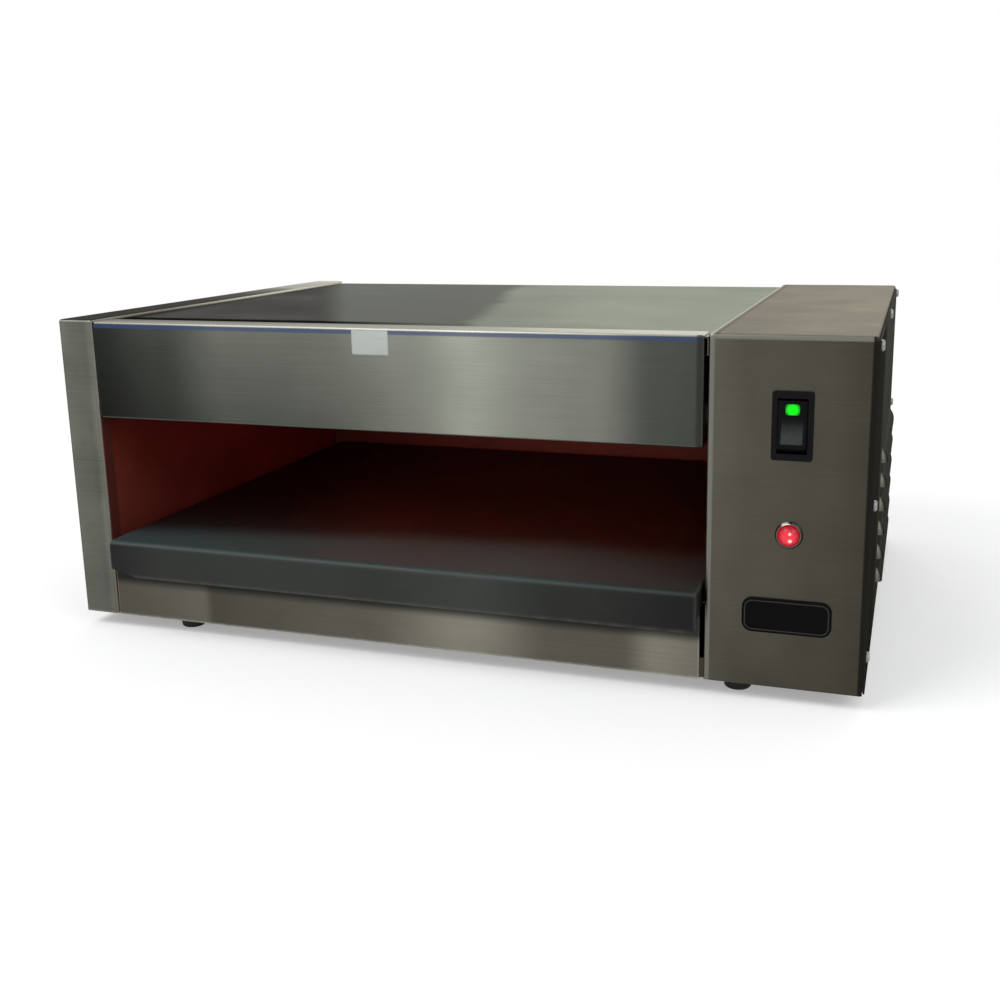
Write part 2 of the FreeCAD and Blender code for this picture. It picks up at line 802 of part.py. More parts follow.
def drawTrough(sketch, half, chord, rise, gauge, radius):
    # Flat, round trough and flat again, with an even gauge of sheet
    centre = rise - radius
    a, c, g, r, m = numbers(half, chord, gauge, radius, centre)
    inner = Part.Circle(spot(0, m), alongZ, r)
    outer = Part.Circle(spot(0, m), alongZ, r + g)
    reach = math.sqrt((r + g) ** 2 - (g - m) ** 2)
    runs = [
        Part.LineSegment(spot(-a, 0), spot(-c, 0)),
        Part.LineSegment(spot(c, 0), spot(a, 0)),
        Part.LineSegment(spot(a, 0), spot(a, g)),
        Part.LineSegment(spot(a, g), spot(reach, g)),
        Part.LineSegment(spot(-reach, g), spot(-a, g)),
        Part.LineSegment(spot(-a, g), spot(-a, 0)),
        Part.ArcOfCircle(inner, inner.parameter(spot(c, 0)), inner.parameter(spot(-c, 0))),
        Part.ArcOfCircle(outer, outer.parameter(spot(reach, g)), outer.parameter(spot(-reach, g))),
    ]
    sketch.addGeometry(runs, False)
    pin(sketch, "nearEdge", 0, 1, -half, 0)
    pin(sketch, "nearFoot", 0, 2, -chord, 0)
    pin(sketch, "farFoot", 1, 1, chord, 0)
    pin(sketch, "farEdge", 1, 2, half, 0)
    pin(sketch, "farTop", 2, 2, half, gauge)
    pin(sketch, "nearTop", 4, 2, -half, gauge)
    constrain(sketch, "farLevel", "DistanceY", 3, 2, to=gauge)
    constrain(sketch, "nearLevel", "DistanceY", 4, 1, to=gauge)
    joinEnds(sketch, [(1, 2, 2, 1), (2, 2, 3, 1), (4, 2, 5, 1), (5, 2, 0, 1),
                      (6, 1, 1, 1), (6, 2, 0, 2), (7, 1, 3, 2), (7, 2, 4, 1)])
    constrain(sketch, "troughCentre", "DistanceY", 6, 3, to=centre)
    sketch.addConstraint(Sketcher.Constraint("Coincident", 7, 3, 6, 3))
    constrain(sketch, "backRadius", "Radius", 7, to=radius + gauge)


def makeTubesAndCoils():
    start = wallLeft - socketEnd + size.fitGap
    for index, y in enumerate(tubePlaces()):
        bore = size.tubeRadius - size.tubeWall
        turned(f"quartz_tube_{index + 1}", (start, y, tubeAxis),
               barRing(bore, size.tubeRadius, 0, tubeLength), "x")
        # Coil with its lead rod, which ends as the stud outside each ceramic
        reach = size.ceramicTail + size.studReach
        whole = wallSpan + reach * 2
        inset = reach + size.ceramicShoulderLength + size.coilInset
        rod = size.studRadius
        turned(f"heater_coil_{index + 1}", (wallLeft - reach, y, tubeAxis),
               [(0, 0), (rod, 0), (rod, inset), (size.coilRadius, inset),
                (size.coilRadius, whole - inset), (rod, whole - inset), (rod, whole), (0, whole)], "x")


def makeCeramics():
    clear = size.fitGap
    hole = size.studRadius + clear / 2
    socket = size.tubeRadius + clear
    shoulder = size.ceramicShoulderLength
    tail = size.ceramicTail
    chamfer = size.ceramicChamfer
    profile = [
        (hole, -tail), (size.ceramicRadius, -tail), (size.ceramicRadius, 0), (size.ceramicShoulder, 0),
        (size.ceramicShoulder, shoulder - chamfer), (size.ceramicShoulder - chamfer, shoulder),
        (socket, shoulder), (socket, -socketEnd), (hole, -socketEnd),
    ]
    for label, x, towards in (("ceramic_ends_left", wallLeft, "x"), ("ceramic_ends_right", wallRight, "-x")):
        body = turned(label, (x, firstTube, tubeAxis), profile, towards)
        doc.recompute()
        addPattern(body, [body.Tip], "Y_Axis", tubePitch, size.tubeCount)


def hexNut(width, bore, height):
    # A nut lying on the XY plane, its flats width apart
    radius = width / 2 / math.cos(math.radians(30))
    turns = [math.radians(60 * corner) for corner in range(7)]
    outline = Part.makePolygon([spot(radius * math.cos(turn), radius * math.sin(turn)) for turn in turns])
    return Part.Face(outline).extrude(alongZ * height).cut(Part.makeCylinder(bore, height))


def panScrew(head, headHigh, shank, reach):
    # Head above the XY plane, its upper half drawn in, and the shank below it
    half = headHigh / 2
    crown = Part.makeCone(head, head - half, half, spot(0, 0) + alongZ * half)
    rod = Part.makeCylinder(shank, reach, alongZ * -reach)
    return crown.fuse([Part.makeCylinder(head, half), rod])


def aimed(shape, towards, x, y, z):
    # A copy of a piece made along +Z, turned towards another axis and put in place
    copy = shape.copy()
    turn = FreeCAD.Rotation(alongZ, towards)
    copy.Placement = FreeCAD.Placement(FreeCAD.Vector(*numbers(x, y, z)), turn)
    return copy


def makeTerminals():
    # Straps join the tubes in pairs on the left; nuts hold straps and lead lugs on the studs
    width, gauge, hole = numbers(size.strapWidth, size.strapThick, size.studRadius + size.fitGap / 2)
    outside = wallLeft - size.ceramicTail - size.strapThick
    x, z = numbers(outside, tubeAxis)
    ys = tubePlaces()
    straps = []
    for first in range(0, len(ys) - 1, 2):
        studs = [FreeCAD.Vector(x, y, z) for y in numbers(ys[first], ys[first + 1])]
        bar = Part.makeBox(gauge, (studs[1] - studs[0]).y, width, studs[0] - alongZ * (width / 2))
        bar = bar.fuse([Part.makeCylinder(width / 2, gauge, stud, alongX) for stud in studs])
        bar = bar.cut([Part.makeCylinder(hole, gauge, stud, alongX) for stud in studs])
        straps.append(bar.removeSplitter())
    groupOf("link_straps", straps)
    nut = hexNut(*numbers(size.studNutWidth, size.studRadius + size.runningFit, size.studNutHigh))
    nuts = [aimed(nut, -alongX, outside, y, tubeAxis) for y in ys]
    nuts += [aimed(nut, alongX, wallRight + size.ceramicTail + size.strapThick, y, tubeAxis) for y in ys]
    groupOf("terminal_nuts", nuts)


def makeGuard():
    # Welded wire guard: a bent frame wire, straight wires front to back and one across
    frameR = size.guardFrameWire / 2
    wireR = size.guardWire / 2
    x0 = bayLeft + thick + size.fitGap
    width = bayWidth - size.endGap - thick * 2 - size.fitGap * 2
    y0 = front + thick + size.fitGap
    depth = backWall - thick - size.fitGap * 2 - y0
    body = newBody("element_guard", x0, y0, hoodSill + frameR)
    path = newSketch(body, "XY_Plane")
    drawRectangle(path, (frameR, width - frameR), (frameR, depth - frameR), size.guardCorner)
    section = newSketch(body, "YZ_Plane", width / 2)
    drawCircle(section, frameR, 0, frameR)
    doc.recompute()
    pipe = body.newObject("PartDesign::AdditivePipe", "element_guard_frame")
    pipe.Profile = section
    pipe.Spine = (path, pick(path.Shape.Edges, "Edge", lambda edge: True))
    body.Tip = pipe
    doc.recompute()
    span = width - size.guardCorner * 2 - size.guardFrameWire
    count = int(span.value / size.guardPitch.value) + 1
    first = (width - size.guardPitch * (count - 1)) / 2
    wires = newSketch(body, "XZ_Plane", frameR)
    drawCircle(wires, first, 0, wireR)
    wire = addPad(body, wires, depth - frameR * 2)
    doc.recompute()
    addPattern(body, [wire], "X_Axis", size.guardPitch, count)
    doc.recompute()
    cross = newSketch(body, "YZ_Plane", frameR)
    drawCircle(cross, depth / 2, wireR * 2 - size.guardWeld, wireR)
    addPad(body, cross, width - frameR * 2)


def makeLedge():
    # Angle along the back wall that carries the rear of the guard
    body = newBody("guard_ledge", wallLeft, backWall - size.ledgeWidth, fasciaLow)
    sketch = newSketch(body, "YZ_Plane")
    wide = size.ledgeWidth
    inside = size.bendRadius - thick
    drawOutline(sketch, [
        (0, 0), (wide, 0, size.bendRadius), (wide, wide), (wide - thick, wide),
        (wide - thick, thick, inside), (0, thick),
    ])
    addPad(body, sketch, wallSpan)


def makeInsulation():
    crown = reflectorLow + size.troughRise + size.reflectorThick
    inset = size.insulationInset
    board = doc.addObject("Part::Box", "hood_insulation")
    board.Label = "hood_insulation"
    half = tubePitch / 2
    board.setExpression("Length", (wallSpan - inset * 2).formula)
    board.setExpression("Width", (tubePitch * size.tubeCount - inset * 2).formula)
    board.setExpression("Height", size.insulationThick.formula)
    place(board, wallLeft + inset, firstTube - half + inset, crown)


# Controls
def frontEdges(pad):
    # Edges round a plate's own front face
    return pick(pad.Shape.Edges, "Edge", lambda edge: edge.BoundBox.YMax < 1e-4)


def makeSwitchHousing():
    # Bezel on the panel, hollow body behind it, seat for the rocker's trunnions
    body = newBody("switch_housing", controlMiddle, front - size.bezelThick, switchLevel)
    sketch = newSketch(body, "XZ_Plane")
    drawRectangle(sketch, (-size.bezelWidth / 2, size.bezelWidth / 2),
                  (-size.bezelHeight / 2, size.bezelHeight / 2), size.bezelCorner)
    bezel = addPad(body, sketch, size.bezelThick)
    doc.recompute()
    addFillet(body, bezel, frontEdges(bezel), size.bezelRound)
    sketch = newSketch(body, "XZ_Plane", size.bezelThick)
    drawRectangle(sketch, (-switchBodyWide, switchBodyWide), (-switchBodyHalf, switchBodyHalf))
    addPad(body, sketch, size.switchBodyDepth)
    pivot = size.bezelThick + size.pivotDepth
    cutRectangle(body, "XZ_Plane", -size.bezelThick, size.bezelThick + pivot + size.rockerFace,
                 (-switchPocketWide, switchPocketWide), (-switchPocketHalf, switchPocketHalf))
    cutHoles(body, "YZ_Plane", -switchBodyWide - thick, switchBodyWide * 2 + thick * 2, [(pivot, 0)],
             size.trunnionRadius + size.runningFit)


def makeRocker():
    # Drawn in its middle position, then turned so that its upper half is pressed in
    rocker = newBody("rocker", controlMiddle, front + size.pivotDepth, switchLevel)
    face = size.rockerFace
    sketch = newSketch(rocker, "YZ_Plane", -size.rockerWidth / 2)
    drawRocker(sketch, face, size.rockerEnd, size.rockerTilt)
    slab = addPad(rocker, sketch, size.rockerWidth)
    doc.recompute()
    valley = -face.value
    grip = pick(slab.Shape.Edges, "Edge", lambda edge: edge.BoundBox.YMax < valley + 0.01)
    addFillet(rocker, slab, grip, size.rockerClearance)
    sketch = newSketch(rocker, "YZ_Plane", -size.rockerWidth / 2 - size.trunnionLength)
    drawCircle(sketch, 0, 0, size.trunnionRadius)
    addPad(rocker, sketch, size.rockerWidth + size.trunnionLength * 2)
    addPocket(rocker, drawWindow(rocker), size.windowThick + size.windowProud)
    lens = newBody("rocker_lens", controlMiddle, front + size.pivotDepth, switchLevel)
    addPad(lens, drawWindow(lens), size.windowThick + size.windowProud)
    for body in (rocker, lens):
        body.Placement.Rotation = FreeCAD.Rotation(alongX, -size.rockerTilt.value)


def drawWindow(body):
    # Outline of the green window, parallel to the rocker's upper face and before it
    sketch = newSketch(body, "XZ_Plane", -size.rockerFace - size.windowProud, size.rockerTilt.value)
    half = size.windowWidth / 2
    low = size.windowRise - size.windowTall / 2
    drawRectangle(sketch, (-half, half), (low, low + size.windowTall), size.windowCorner)
    return sketch


def makeSwitchTabs():
    # Spade tabs out of the back of the switch's body
    gauge, length, width, hole = numbers(size.tabThick, size.tabLength, size.tabWidth, size.tabHole)
    tab = Part.makeBox(gauge, length, width, FreeCAD.Vector(-gauge / 2, 0, -width / 2))
    tab = tab.cut(Part.makeCylinder(hole, gauge, FreeCAD.Vector(-gauge / 2, length * 2 / 3, 0), alongX))
    behind = front + size.switchBodyDepth
    places = [(size.tabSpread / 2 * across, size.tabRise / 2 * up) for up in (1, -1) for across in (-1, 1)]
    groupOf("switch_terminals", [moved(tab, controlMiddle + across, behind, switchLevel + up)
                                 for across, up in places])


def moved(shape, x, y, z):
    copy = shape.copy()
    copy.translate(FreeCAD.Vector(*numbers(x, y, z)))
    return copy


def drawRocker(sketch, face, end, tilt):
    # Two flat faces that meet in a shallow valley, ends round about the pivot
    f, e, rear = numbers(face, end, size.rockerRear)
    lean = math.tan(math.radians(tilt.value))
    # Height where the sloping face meets the end's circle
    a = 1 + lean * lean
    b = f * lean
    v = (-b + math.sqrt(b * b - a * (f * f - e * e))) / a
    u = f + v * lean
    w = math.sqrt(e * e - rear * rear)
    circle = Part.Circle(spot(0, 0), alongZ, e)
    upper = Part.ArcOfCircle(circle, circle.parameter(spot(rear, w)), circle.parameter(spot(-u, v)))
    lower = Part.ArcOfCircle(circle, circle.parameter(spot(-u, -v)), circle.parameter(spot(rear, -w)))
    runs = [
        Part.LineSegment(spot(-f, 0), spot(-u, v)), upper,
        Part.LineSegment(spot(rear, w), spot(rear, -w)), lower,
        Part.LineSegment(spot(-u, -v), spot(-f, 0)),
    ]
    sketch.addGeometry(runs, False)
    joinEnds(sketch, [(0, 2, 1, 2), (1, 1, 2, 1), (2, 2, 3, 2), (3, 1, 4, 1), (4, 2, 0, 1)])
    pin(sketch, "valley", 0, 1, -face, 0)
    pin(sketch, "pivot", 1, 3, 0, 0)
    sketch.addConstraint(Sketcher.Constraint("Coincident", 3, 3, 1, 3))
    constrain(sketch, "endRadius", "Radius", 1, to=end)
    constrain(sketch, "lowerEnd", "Radius", 3, to=end)
    constrain(sketch, "rearTop", "DistanceX", 2, 1, to=size.rockerRear)
    constrain(sketch, "rearLow", "DistanceX", 2, 2, to=size.rockerRear)
    constrain(sketch, "upperLean", "DistanceX", 0, 2, to=-u)
    constrain(sketch, "lowerLean", "DistanceX", 4, 1, to=-u)


def makeLamp():
    ring, lens, barrel, high = size.lampRadius, size.lampLens, size.lampBarrel, size.lampRingHigh
    bore = lens + size.fitGap / 2
    tail = size.lampDepth - size.lampTail
    turned("pilot_bezel", (controlMiddle, front, lampLevel),
           [(bore, 0), (ring, 0), (ring, high / 2), (ring - size.lampRingSlope, high), (bore, high)], "-y")
    body = newBody("pilot_lens", controlMiddle, front, lampLevel)
    sketch = newSketch(body, "XZ_Plane")
    drawDome(sketch, lens, size.lampDome, high)
    addTurn(body, sketch)
    body.Placement.Rotation = FreeCAD.Rotation(alongX, 90)
    turned("pilot_body", (controlMiddle, front, lampLevel),
           [(0, 0), (barrel, 0), (barrel, tail), (size.lampTailRadius, tail),
            (size.lampTailRadius, size.lampDepth), (0, size.lampDepth)], "y")
    nut = hexNut(*numbers(size.lampNutWidth, barrel + size.runningFit, size.lampNutThick))
    groupOf("pilot_nut", [aimed(nut, alongY, controlMiddle, front + thick, lampLevel)])


def drawDome(sketch, radius, dome, skirt):
    # Half section of a lens: a straight skirt, then a round crown
    r, c, k = numbers(radius, dome, skirt)
    crown = (r * r + c * c) / (2 * c)
    circle = Part.Circle(spot(0, k + c - crown), alongZ, crown)
    runs = [
        Part.LineSegment(spot(0, 0), spot(r, 0)),
        Part.LineSegment(spot(r, 0), spot(r, k)),
        Part.ArcOfCircle(circle, circle.parameter(spot(r, k)), circle.parameter(spot(0, k + c))),
        Part.LineSegment(spot(0, k + c), spot(0, 0)),
    ]
    sketch.addGeometry(runs, False)
    joinEnds(sketch, [(0, 2, 1, 1), (1, 2, 2, 1), (2, 2, 3, 1), (3, 2, 0, 1)])
    pin(sketch, "centre", 0, 1, 0, 0)
    pin(sketch, "edge", 0, 2, radius, 0)
    pin(sketch, "shoulder", 1, 2, radius, skirt)
    pin(sketch, "crown", 2, 2, 0, dome + skirt)
    constrain(sketch, "crownAxis", "DistanceX", 2, 3, to=0)


def makeBadge():
    body = newBody("badge_plate", controlMiddle, front - size.badgeThick, floor + size.badgeHeight)
    sketch = newSketch(body, "XZ_Plane")
    drawRectangle(sketch, (-size.badgeWidth / 2, size.badgeWidth / 2),
                  (-size.badgeTall / 2, size.badgeTall / 2), size.badgeCorner)
    plate = addPad(body, sketch, size.badgeThick)
    doc.recompute()
    addFillet(body, plate, frontEdges(plate), size.badgeRound)


# Louvred side cover
def drawHood(sketch, low, height, reach, inset):
    # Section of a louvre: upright at the sheet, round over the top, open below
    radius = (height * height + reach * reach) / (reach * 2)
    centre = reach - radius
    h, r, c, z = numbers(height, radius - inset, centre, low)
    rise = math.sqrt(r * r - c * c)
    circle = Part.Circle(spot(c, z), alongZ, r)
    runs = [
        Part.LineSegment(spot(0, z), spot(c + r, z)),
        Part.ArcOfCircle(circle, circle.parameter(spot(c + r, z)), circle.parameter(spot(0, z + rise))),
        Part.LineSegment(spot(0, z + rise), spot(0, z)),
    ]
    sketch.addGeometry(runs, False)
    joinEnds(sketch, [(0, 2, 1, 1), (1, 2, 2, 1), (2, 2, 0, 1)])
    pin(sketch, "foot", 0, 1, 0, low)
    constrain(sketch, "sill", "DistanceY", 0, 2, to=low)
    constrain(sketch, "wallLine", "DistanceX", 1, 2, to=0)
    pin(sketch, "hub", 1, 3, centre, low)
    constrain(sketch, "hoodRadius", "Radius", 1, to=radius - inset)


def makeSideCover():
    inset = size.coverInset
    depth = size.cabinetDepth - inset * 2
    tall = size.cabinetHeight - inset
    body = newBody("side_cover", right - thick, front + inset, floor)
    sketch = newSketch(body, "YZ_Plane")
    drawRectangle(sketch, (0, depth), (0, tall), size.coverCorner)
    addPad(body, sketch, thick)
    reach = size.louvreReach + thick
    middle = size.louvreMiddle - inset
    half = size.louvreLength / 2
    steps = []
    for trim, cut in ((0, False), (thick, True)):
        sketch = newSketch(body, "XZ_Plane", middle - half)
        drawHood(sketch, size.louvreFirst, size.louvreHeight, reach, trim)
        steps.append(addPocket(body, sketch, half * 2) if cut else addPad(body, sketch, half * 2))
        doc.recompute()
        for end, angle in ((middle - half, -90), (middle + half, 90)):
            sketch = newSketch(body, "XZ_Plane", end)
            drawHood(sketch, size.louvreFirst, size.louvreHeight, reach, trim)
            steps.append(addTurn(body, sketch, angle, cut))
            doc.recompute()
    addPattern(body, steps, "Z_Axis", size.louvrePitch, size.louvreCount)
    doc.recompute()
    cutHoles(body, "YZ_Plane", -thick, sheetCut, [(y - inset, z) for y, z in coverScrewPlaces()],
             size.screwRadius + size.fitGap / 2)


# Feet, fasteners and inlet
def makeFeet():
    names = ("foot_front_left", "foot_front_right", "foot_rear_left", "foot_rear_right")
    radius = size.footRadius
    chamfer = size.footChamfer
    low = radius - size.footTaper
    hole = size.footScrewRadius + size.fitGap / 2
    recess = size.footRecess
    deep = size.footRecessDeep
    for name, (x, y) in zip(names, footPlaces()):
        turned(name, (x, y, 0),
               [(recess, 0), (low - chamfer, 0), (low, chamfer), (radius, floor), (hole, floor), (hole, deep),
                (recess, deep)])


def makeScrews():
    screw = panScrew(*numbers(size.screwHead, size.screwHeadHigh, size.screwRadius, size.screwReach))
    groupOf("side_cover_screws", [aimed(screw, alongX, right, front + along, floor + up)
                                  for along, up in coverScrewPlaces()])
    for label, y, places in (("top_cover_screws", back, rearScrewPlaces()[:3]),
                             ("rear_panel_screws", back - thick, rearScrewPlaces()[3:])):
        groupOf(label, [aimed(screw, alongY, bayLeft + across, y, floor + up) for across, up in places])
    screw = panScrew(*numbers(size.footScrewHead, size.footScrewHeadHigh, size.footScrewRadius,
                              size.footScrewGrip))
    groupOf("foot_screws", [aimed(screw, -alongZ, x, y, size.footRecessDeep) for x, y in footPlaces()])
    nut = hexNut(*numbers(size.footNutWidth, size.footScrewRadius + size.runningFit, size.footNutHigh))
    groupOf("foot_nuts", [moved(nut, x, y, floor + thick) for x, y in footPlaces()])


def makeGland():
    # Hexagon against the rear face with its threaded stem inside, the lock nut and the dome nut
    z = floor + size.glandHeight
    bore, thread, stemLength = numbers(size.glandBore, size.glandThread, size.glandInside + thick)
    stem = Part.makeCylinder(thread, stemLength, alongZ * -stemLength)
    stem = stem.cut(Part.makeCylinder(bore, stemLength, alongZ * -stemLength))
    gland = hexNut(size.glandHex.value, bore, size.glandFlange.value).fuse(stem)
    groupOf("cord_gland", [aimed(gland, alongY, controlMiddle, back, z)])
    lock = hexNut(*numbers(size.lockNutWidth, size.glandThread + size.runningFit, size.lockNutThick))
    groupOf("gland_lock_nut", [aimed(lock, -alongY, controlMiddle, back - thick, z)])
    outer, dome = size.glandDomeRadius, size.glandDome
    turned("gland_dome_nut", (controlMiddle, back + size.glandFlange, z),
           [(size.glandBore, 0), (outer, 0), (outer, dome - size.glandNose), (size.glandNoseRadius, dome),
            (size.glandBore, dome)], "y")


blockWidth = size.wayPitch * size.wayCount
blockLeft = controlMiddle - blockWidth / 2
blockFront = back - size.blockSetback
blockUnder = floor + thick


def wayPlaces():
    return [size.wayPitch * (way + 0.5) for way in range(int(size.wayCount.value))]


def makeTerminalBlock():
    # A ridge between two steps, with one screw in each step for every way
    deep, step = size.blockDepth, size.blockStep
    near = (deep - size.blockRidge) / 2
    far = near + size.blockRidge
    body = newBody("terminal_block", blockLeft, blockFront, blockUnder)
    sketch = newSketch(body, "YZ_Plane")
    drawOutline(sketch, [(0, 0), (deep, 0), (deep, step), (far, step), (far, size.blockHeight),
                         (near, size.blockHeight), (near, step), (0, step)])
    addPad(body, sketch, blockWidth)
    places = [(across, along) for across in wayPlaces()
              for along in (size.blockScrewInset, deep - size.blockScrewInset)]
    reach = size.blockScrewReach
    cutHoles(body, "XY_Plane", step - reach, reach + thick, places, size.blockScrewRadius + size.runningFit)
    screw = panScrew(*numbers(size.blockScrewHead, size.blockScrewHeadHigh, size.blockScrewRadius, reach))
    groupOf("terminal_block_screws", [moved(screw, blockLeft + across, blockFront + along, blockUnder + step)
                                      for across, along in places])


def makeEarth():
    nut = hexNut(*numbers(size.earthNutWidth, size.screwRadius + size.runningFit, size.earthNutHigh))
    groupOf("earth_nut", [moved(nut, earthX, earthY, floor + thick)])
    stud = Part.makeCylinder(*numbers(size.screwRadius, size.earthLength))
    groupOf("earth_stud", [moved(stud, earthX, earthY, floor - thick)])


def leadSolid(points, radius, bend):
    # Round lead along straight runs joined by tangent arcs
    route = [FreeCAD.Vector(*numbers(*point)) for point in points]
    edges = []
    start = route[0]
    for before, corner, after in zip(route, route[1:], route[2:]):
        behind = (before - corner).normalize()
        ahead = (after - corner).normalize()
        half = behind.getAngle(ahead) / 2
        reach = min(bend / math.tan(half), (before - corner).Length * 0.45, (after - corner).Length * 0.45)
        arcStart = corner + behind * reach
        arcEnd = corner + ahead * reach
        turn = reach * math.tan(half)
        centre = corner + (behind + ahead).normalize() * (turn / math.sin(half))
        middle = centre + (corner - centre).normalize() * turn
        edges.append(Part.LineSegment(start, arcStart).toShape())
        edges.append(Part.Arc(arcStart, middle, arcEnd).toShape())
        start = arcEnd
    edges.append(Part.LineSegment(start, route[-1]).toShape())
    spine = Part.Wire(edges)
    section = Part.Wire(Part.makeCircle(radius, route[0], route[1] - route[0]))
    tube = spine.makePipeShell([section], True, False)
    expected = math.pi * radius ** 2 * spine.Length
    if not tube.isValid() or abs(tube.Volume - expected) > 0.02 * expected:
        raise ValueError("a lead's tube differs from its section times its length")
    return tube


def lugShape(x, y):
    # Ring and tongue of a lead's lug, flat against the ceramic's end
    stud, gauge, clear, length = numbers(size.studRadius, size.strapThick, size.fitGap, size.lugLength)
    middle = FreeCAD.Vector(*numbers(x, y, tubeAxis))
    ring = Part.makeCylinder(stud * 2, gauge, middle, alongX)
    tongue = Part.makeBox(gauge, stud * 2, length, middle - alongY * stud - alongZ * length)
    hole = Part.makeCylinder(stud + clear / 2, gauge, middle, alongX)
    return ring.fuse(tongue).cut(hole)


def makeLeads():
    # From each stud on the right down to its way in the terminal block's rear face
    radius, bend = numbers(size.leadRadius, size.leadBend)
    lugX = wallRight + size.ceramicTail
    stud = lugX + size.leadRadius
    blockRear = blockFront + size.blockDepth
    behind = blockRear + size.leadBow
    entry = blockUnder + size.blockStep / 2
    leads = []
    for index, (y, across) in enumerate(zip(tubePlaces(), wayPlaces())):
        x = blockLeft + across
        level = shelfTop + size.leadSag + size.leadStep * index
        start = tubeAxis - size.lugLength * 2 / 3
        lead = leadSolid([(stud, y, start), (stud, y, level), (x, behind, level), (x, behind, entry),
                          (x, blockRear, entry)], radius, bend)
        leads.append(lead.fuse(lugShape(lugX, y)))
    groupOf("element_leads", leads)


makeEndCap()
makeControlHousing()
makeBasePan()
makeRearPanel()
makeTopCover()
makeInnerWall("left_inner_wall", wallLeft - size.wallFlange, "left")
makeInnerWall("right_inner_wall", wallRight, "right")
makeLowerPanel()
makeShelf()
makeBackWall()
makeFascia()
makeTray()
makeReflector()
makeTubesAndCoils()
makeCeramics()
makeTerminals()
makeGuard()
makeLedge()
makeInsulation()
makeSwitchHousing()
makeRocker()
makeSwitchTabs()
makeLamp()
makeBadge()
makeSideCover()
makeFeet()
makeScrews()
makeGland()
makeTerminalBlock()
makeEarth()
makeLeads()
doc.recompute()

# Every piece has to be sound before any file is written
pieces = [item for item in doc.Objects
          if item.TypeId in ("PartDesign::Body", "Part::Feature", "Part::Box")]
faulty = [item.Label for item in doc.Objects if "Invalid" in item.State or "Error" in item.State]
faulty += [item.Label for item in pieces if item.Shape.isNull() or not item.Shape.isValid()]
if faulty:
    raise ValueError(f"pieces that did not build: {faulty}")
for piece in pieces:
    piece.Shape.exportStep(f"parts/{piece.Label}.step")
print(len(pieces), "pieces")
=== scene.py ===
import bmesh
import bpy
import math
from mathutils import Matrix, Vector


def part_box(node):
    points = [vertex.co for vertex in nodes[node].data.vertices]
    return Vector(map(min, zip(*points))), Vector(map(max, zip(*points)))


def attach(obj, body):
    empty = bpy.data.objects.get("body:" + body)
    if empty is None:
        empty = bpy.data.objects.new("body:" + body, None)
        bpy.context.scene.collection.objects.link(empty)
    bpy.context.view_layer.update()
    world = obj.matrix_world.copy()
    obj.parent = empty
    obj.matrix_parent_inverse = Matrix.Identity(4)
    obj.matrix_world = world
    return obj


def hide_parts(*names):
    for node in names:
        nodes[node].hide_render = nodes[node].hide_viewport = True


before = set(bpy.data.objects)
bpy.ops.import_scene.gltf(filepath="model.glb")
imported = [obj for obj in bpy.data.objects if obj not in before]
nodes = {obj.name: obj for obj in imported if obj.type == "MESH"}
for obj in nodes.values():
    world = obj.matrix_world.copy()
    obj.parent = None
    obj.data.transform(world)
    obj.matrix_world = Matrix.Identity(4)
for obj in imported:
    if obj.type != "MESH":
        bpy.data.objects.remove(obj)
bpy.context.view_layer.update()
print("cabinet frame loaded:", len(nodes), "nodes")


# Small helpers for node trees

class Signal:
    # A node's output; plain arithmetic on it adds Math nodes to its tree
    def __init__(self, socket):
        self.socket = socket
        self.tree = socket.id_data

    def __add__(self, other):
        return calc("ADD", self, other)

    def __sub__(self, other):
        return calc("SUBTRACT", self, other)

    def __rsub__(self, other):
        return calc("SUBTRACT", other, self)

    def __mul__(self, other):
        return calc("MULTIPLY", self, other)

    def __rmul__(self, other):
        return calc("MULTIPLY", self, other)

    def __abs__(self):
        return calc("ABSOLUTE", self)


def addNode(tree, kind, settings=None, inputs=None):
    # An input takes a signal, another node's socket or a plain value
    node = tree.nodes.new(kind)
    for name, value in (settings or {}).items():
        setattr(node, name, value)
    for key, value in (inputs or {}).items():
        socket = node.inputs[key]
        if isinstance(value, Signal):
            tree.links.new(value.socket, socket)
        elif isinstance(value, bpy.types.NodeSocket):
            tree.links.new(value, socket)
        else:
            socket.default_value = (*value, 1.0) if socket.type == "RGBA" else value
    return node


def outputOf(tree, kind, settings=None, inputs=None, output=0):
    return Signal(addNode(tree, kind, settings, inputs).outputs[output])


def treeOf(*values):
    return next(value.tree for value in values if isinstance(value, Signal))


def calc(operation, *values, clamp=False):
    return outputOf(treeOf(*values), "ShaderNodeMath", {"operation": operation, "use_clamp": clamp},
                    dict(enumerate(values)))


def vectorCalc(operation, *values, output="Vector"):
    return outputOf(treeOf(*values), "ShaderNodeVectorMath", {"operation": operation},
                    dict(enumerate(values)), output)


def scaled(vector, factor):
    return outputOf(treeOf(vector, factor), "ShaderNodeVectorMath", {"operation": "SCALE"},
                    {"Vector": vector, "Scale": factor})


def between(value, low, high, start=0.0, end=1.0, soft=True):
    # Goes from start to end while the value goes from low to high
    shape = "SMOOTHSTEP" if soft else "LINEAR"
    return outputOf(value.tree, "ShaderNodeMapRange", {"interpolation_type": shape},
                    {"Value": value, "From Min": low, "From Max": high, "To Min": start, "To Max": end})


def mixColour(factor, first, second):
    return outputOf(factor.tree, "ShaderNodeMix", {"data_type": "RGBA"}, {0: factor, 6: first, 7: second}, 2)


def mixValue(factor, first, second):
    return outputOf(factor.tree, "ShaderNodeMix", {"data_type": "FLOAT"}, {0: factor, 2: first, 3: second})


def noise(vector, scale, detail=2.0, coarse=0.5):
    return outputOf(vector.tree, "ShaderNodeTexNoise", {"noise_dimensions": "3D"},
                    {"Vector": vector, "Scale": scale, "Detail": detail, "Roughness": coarse})


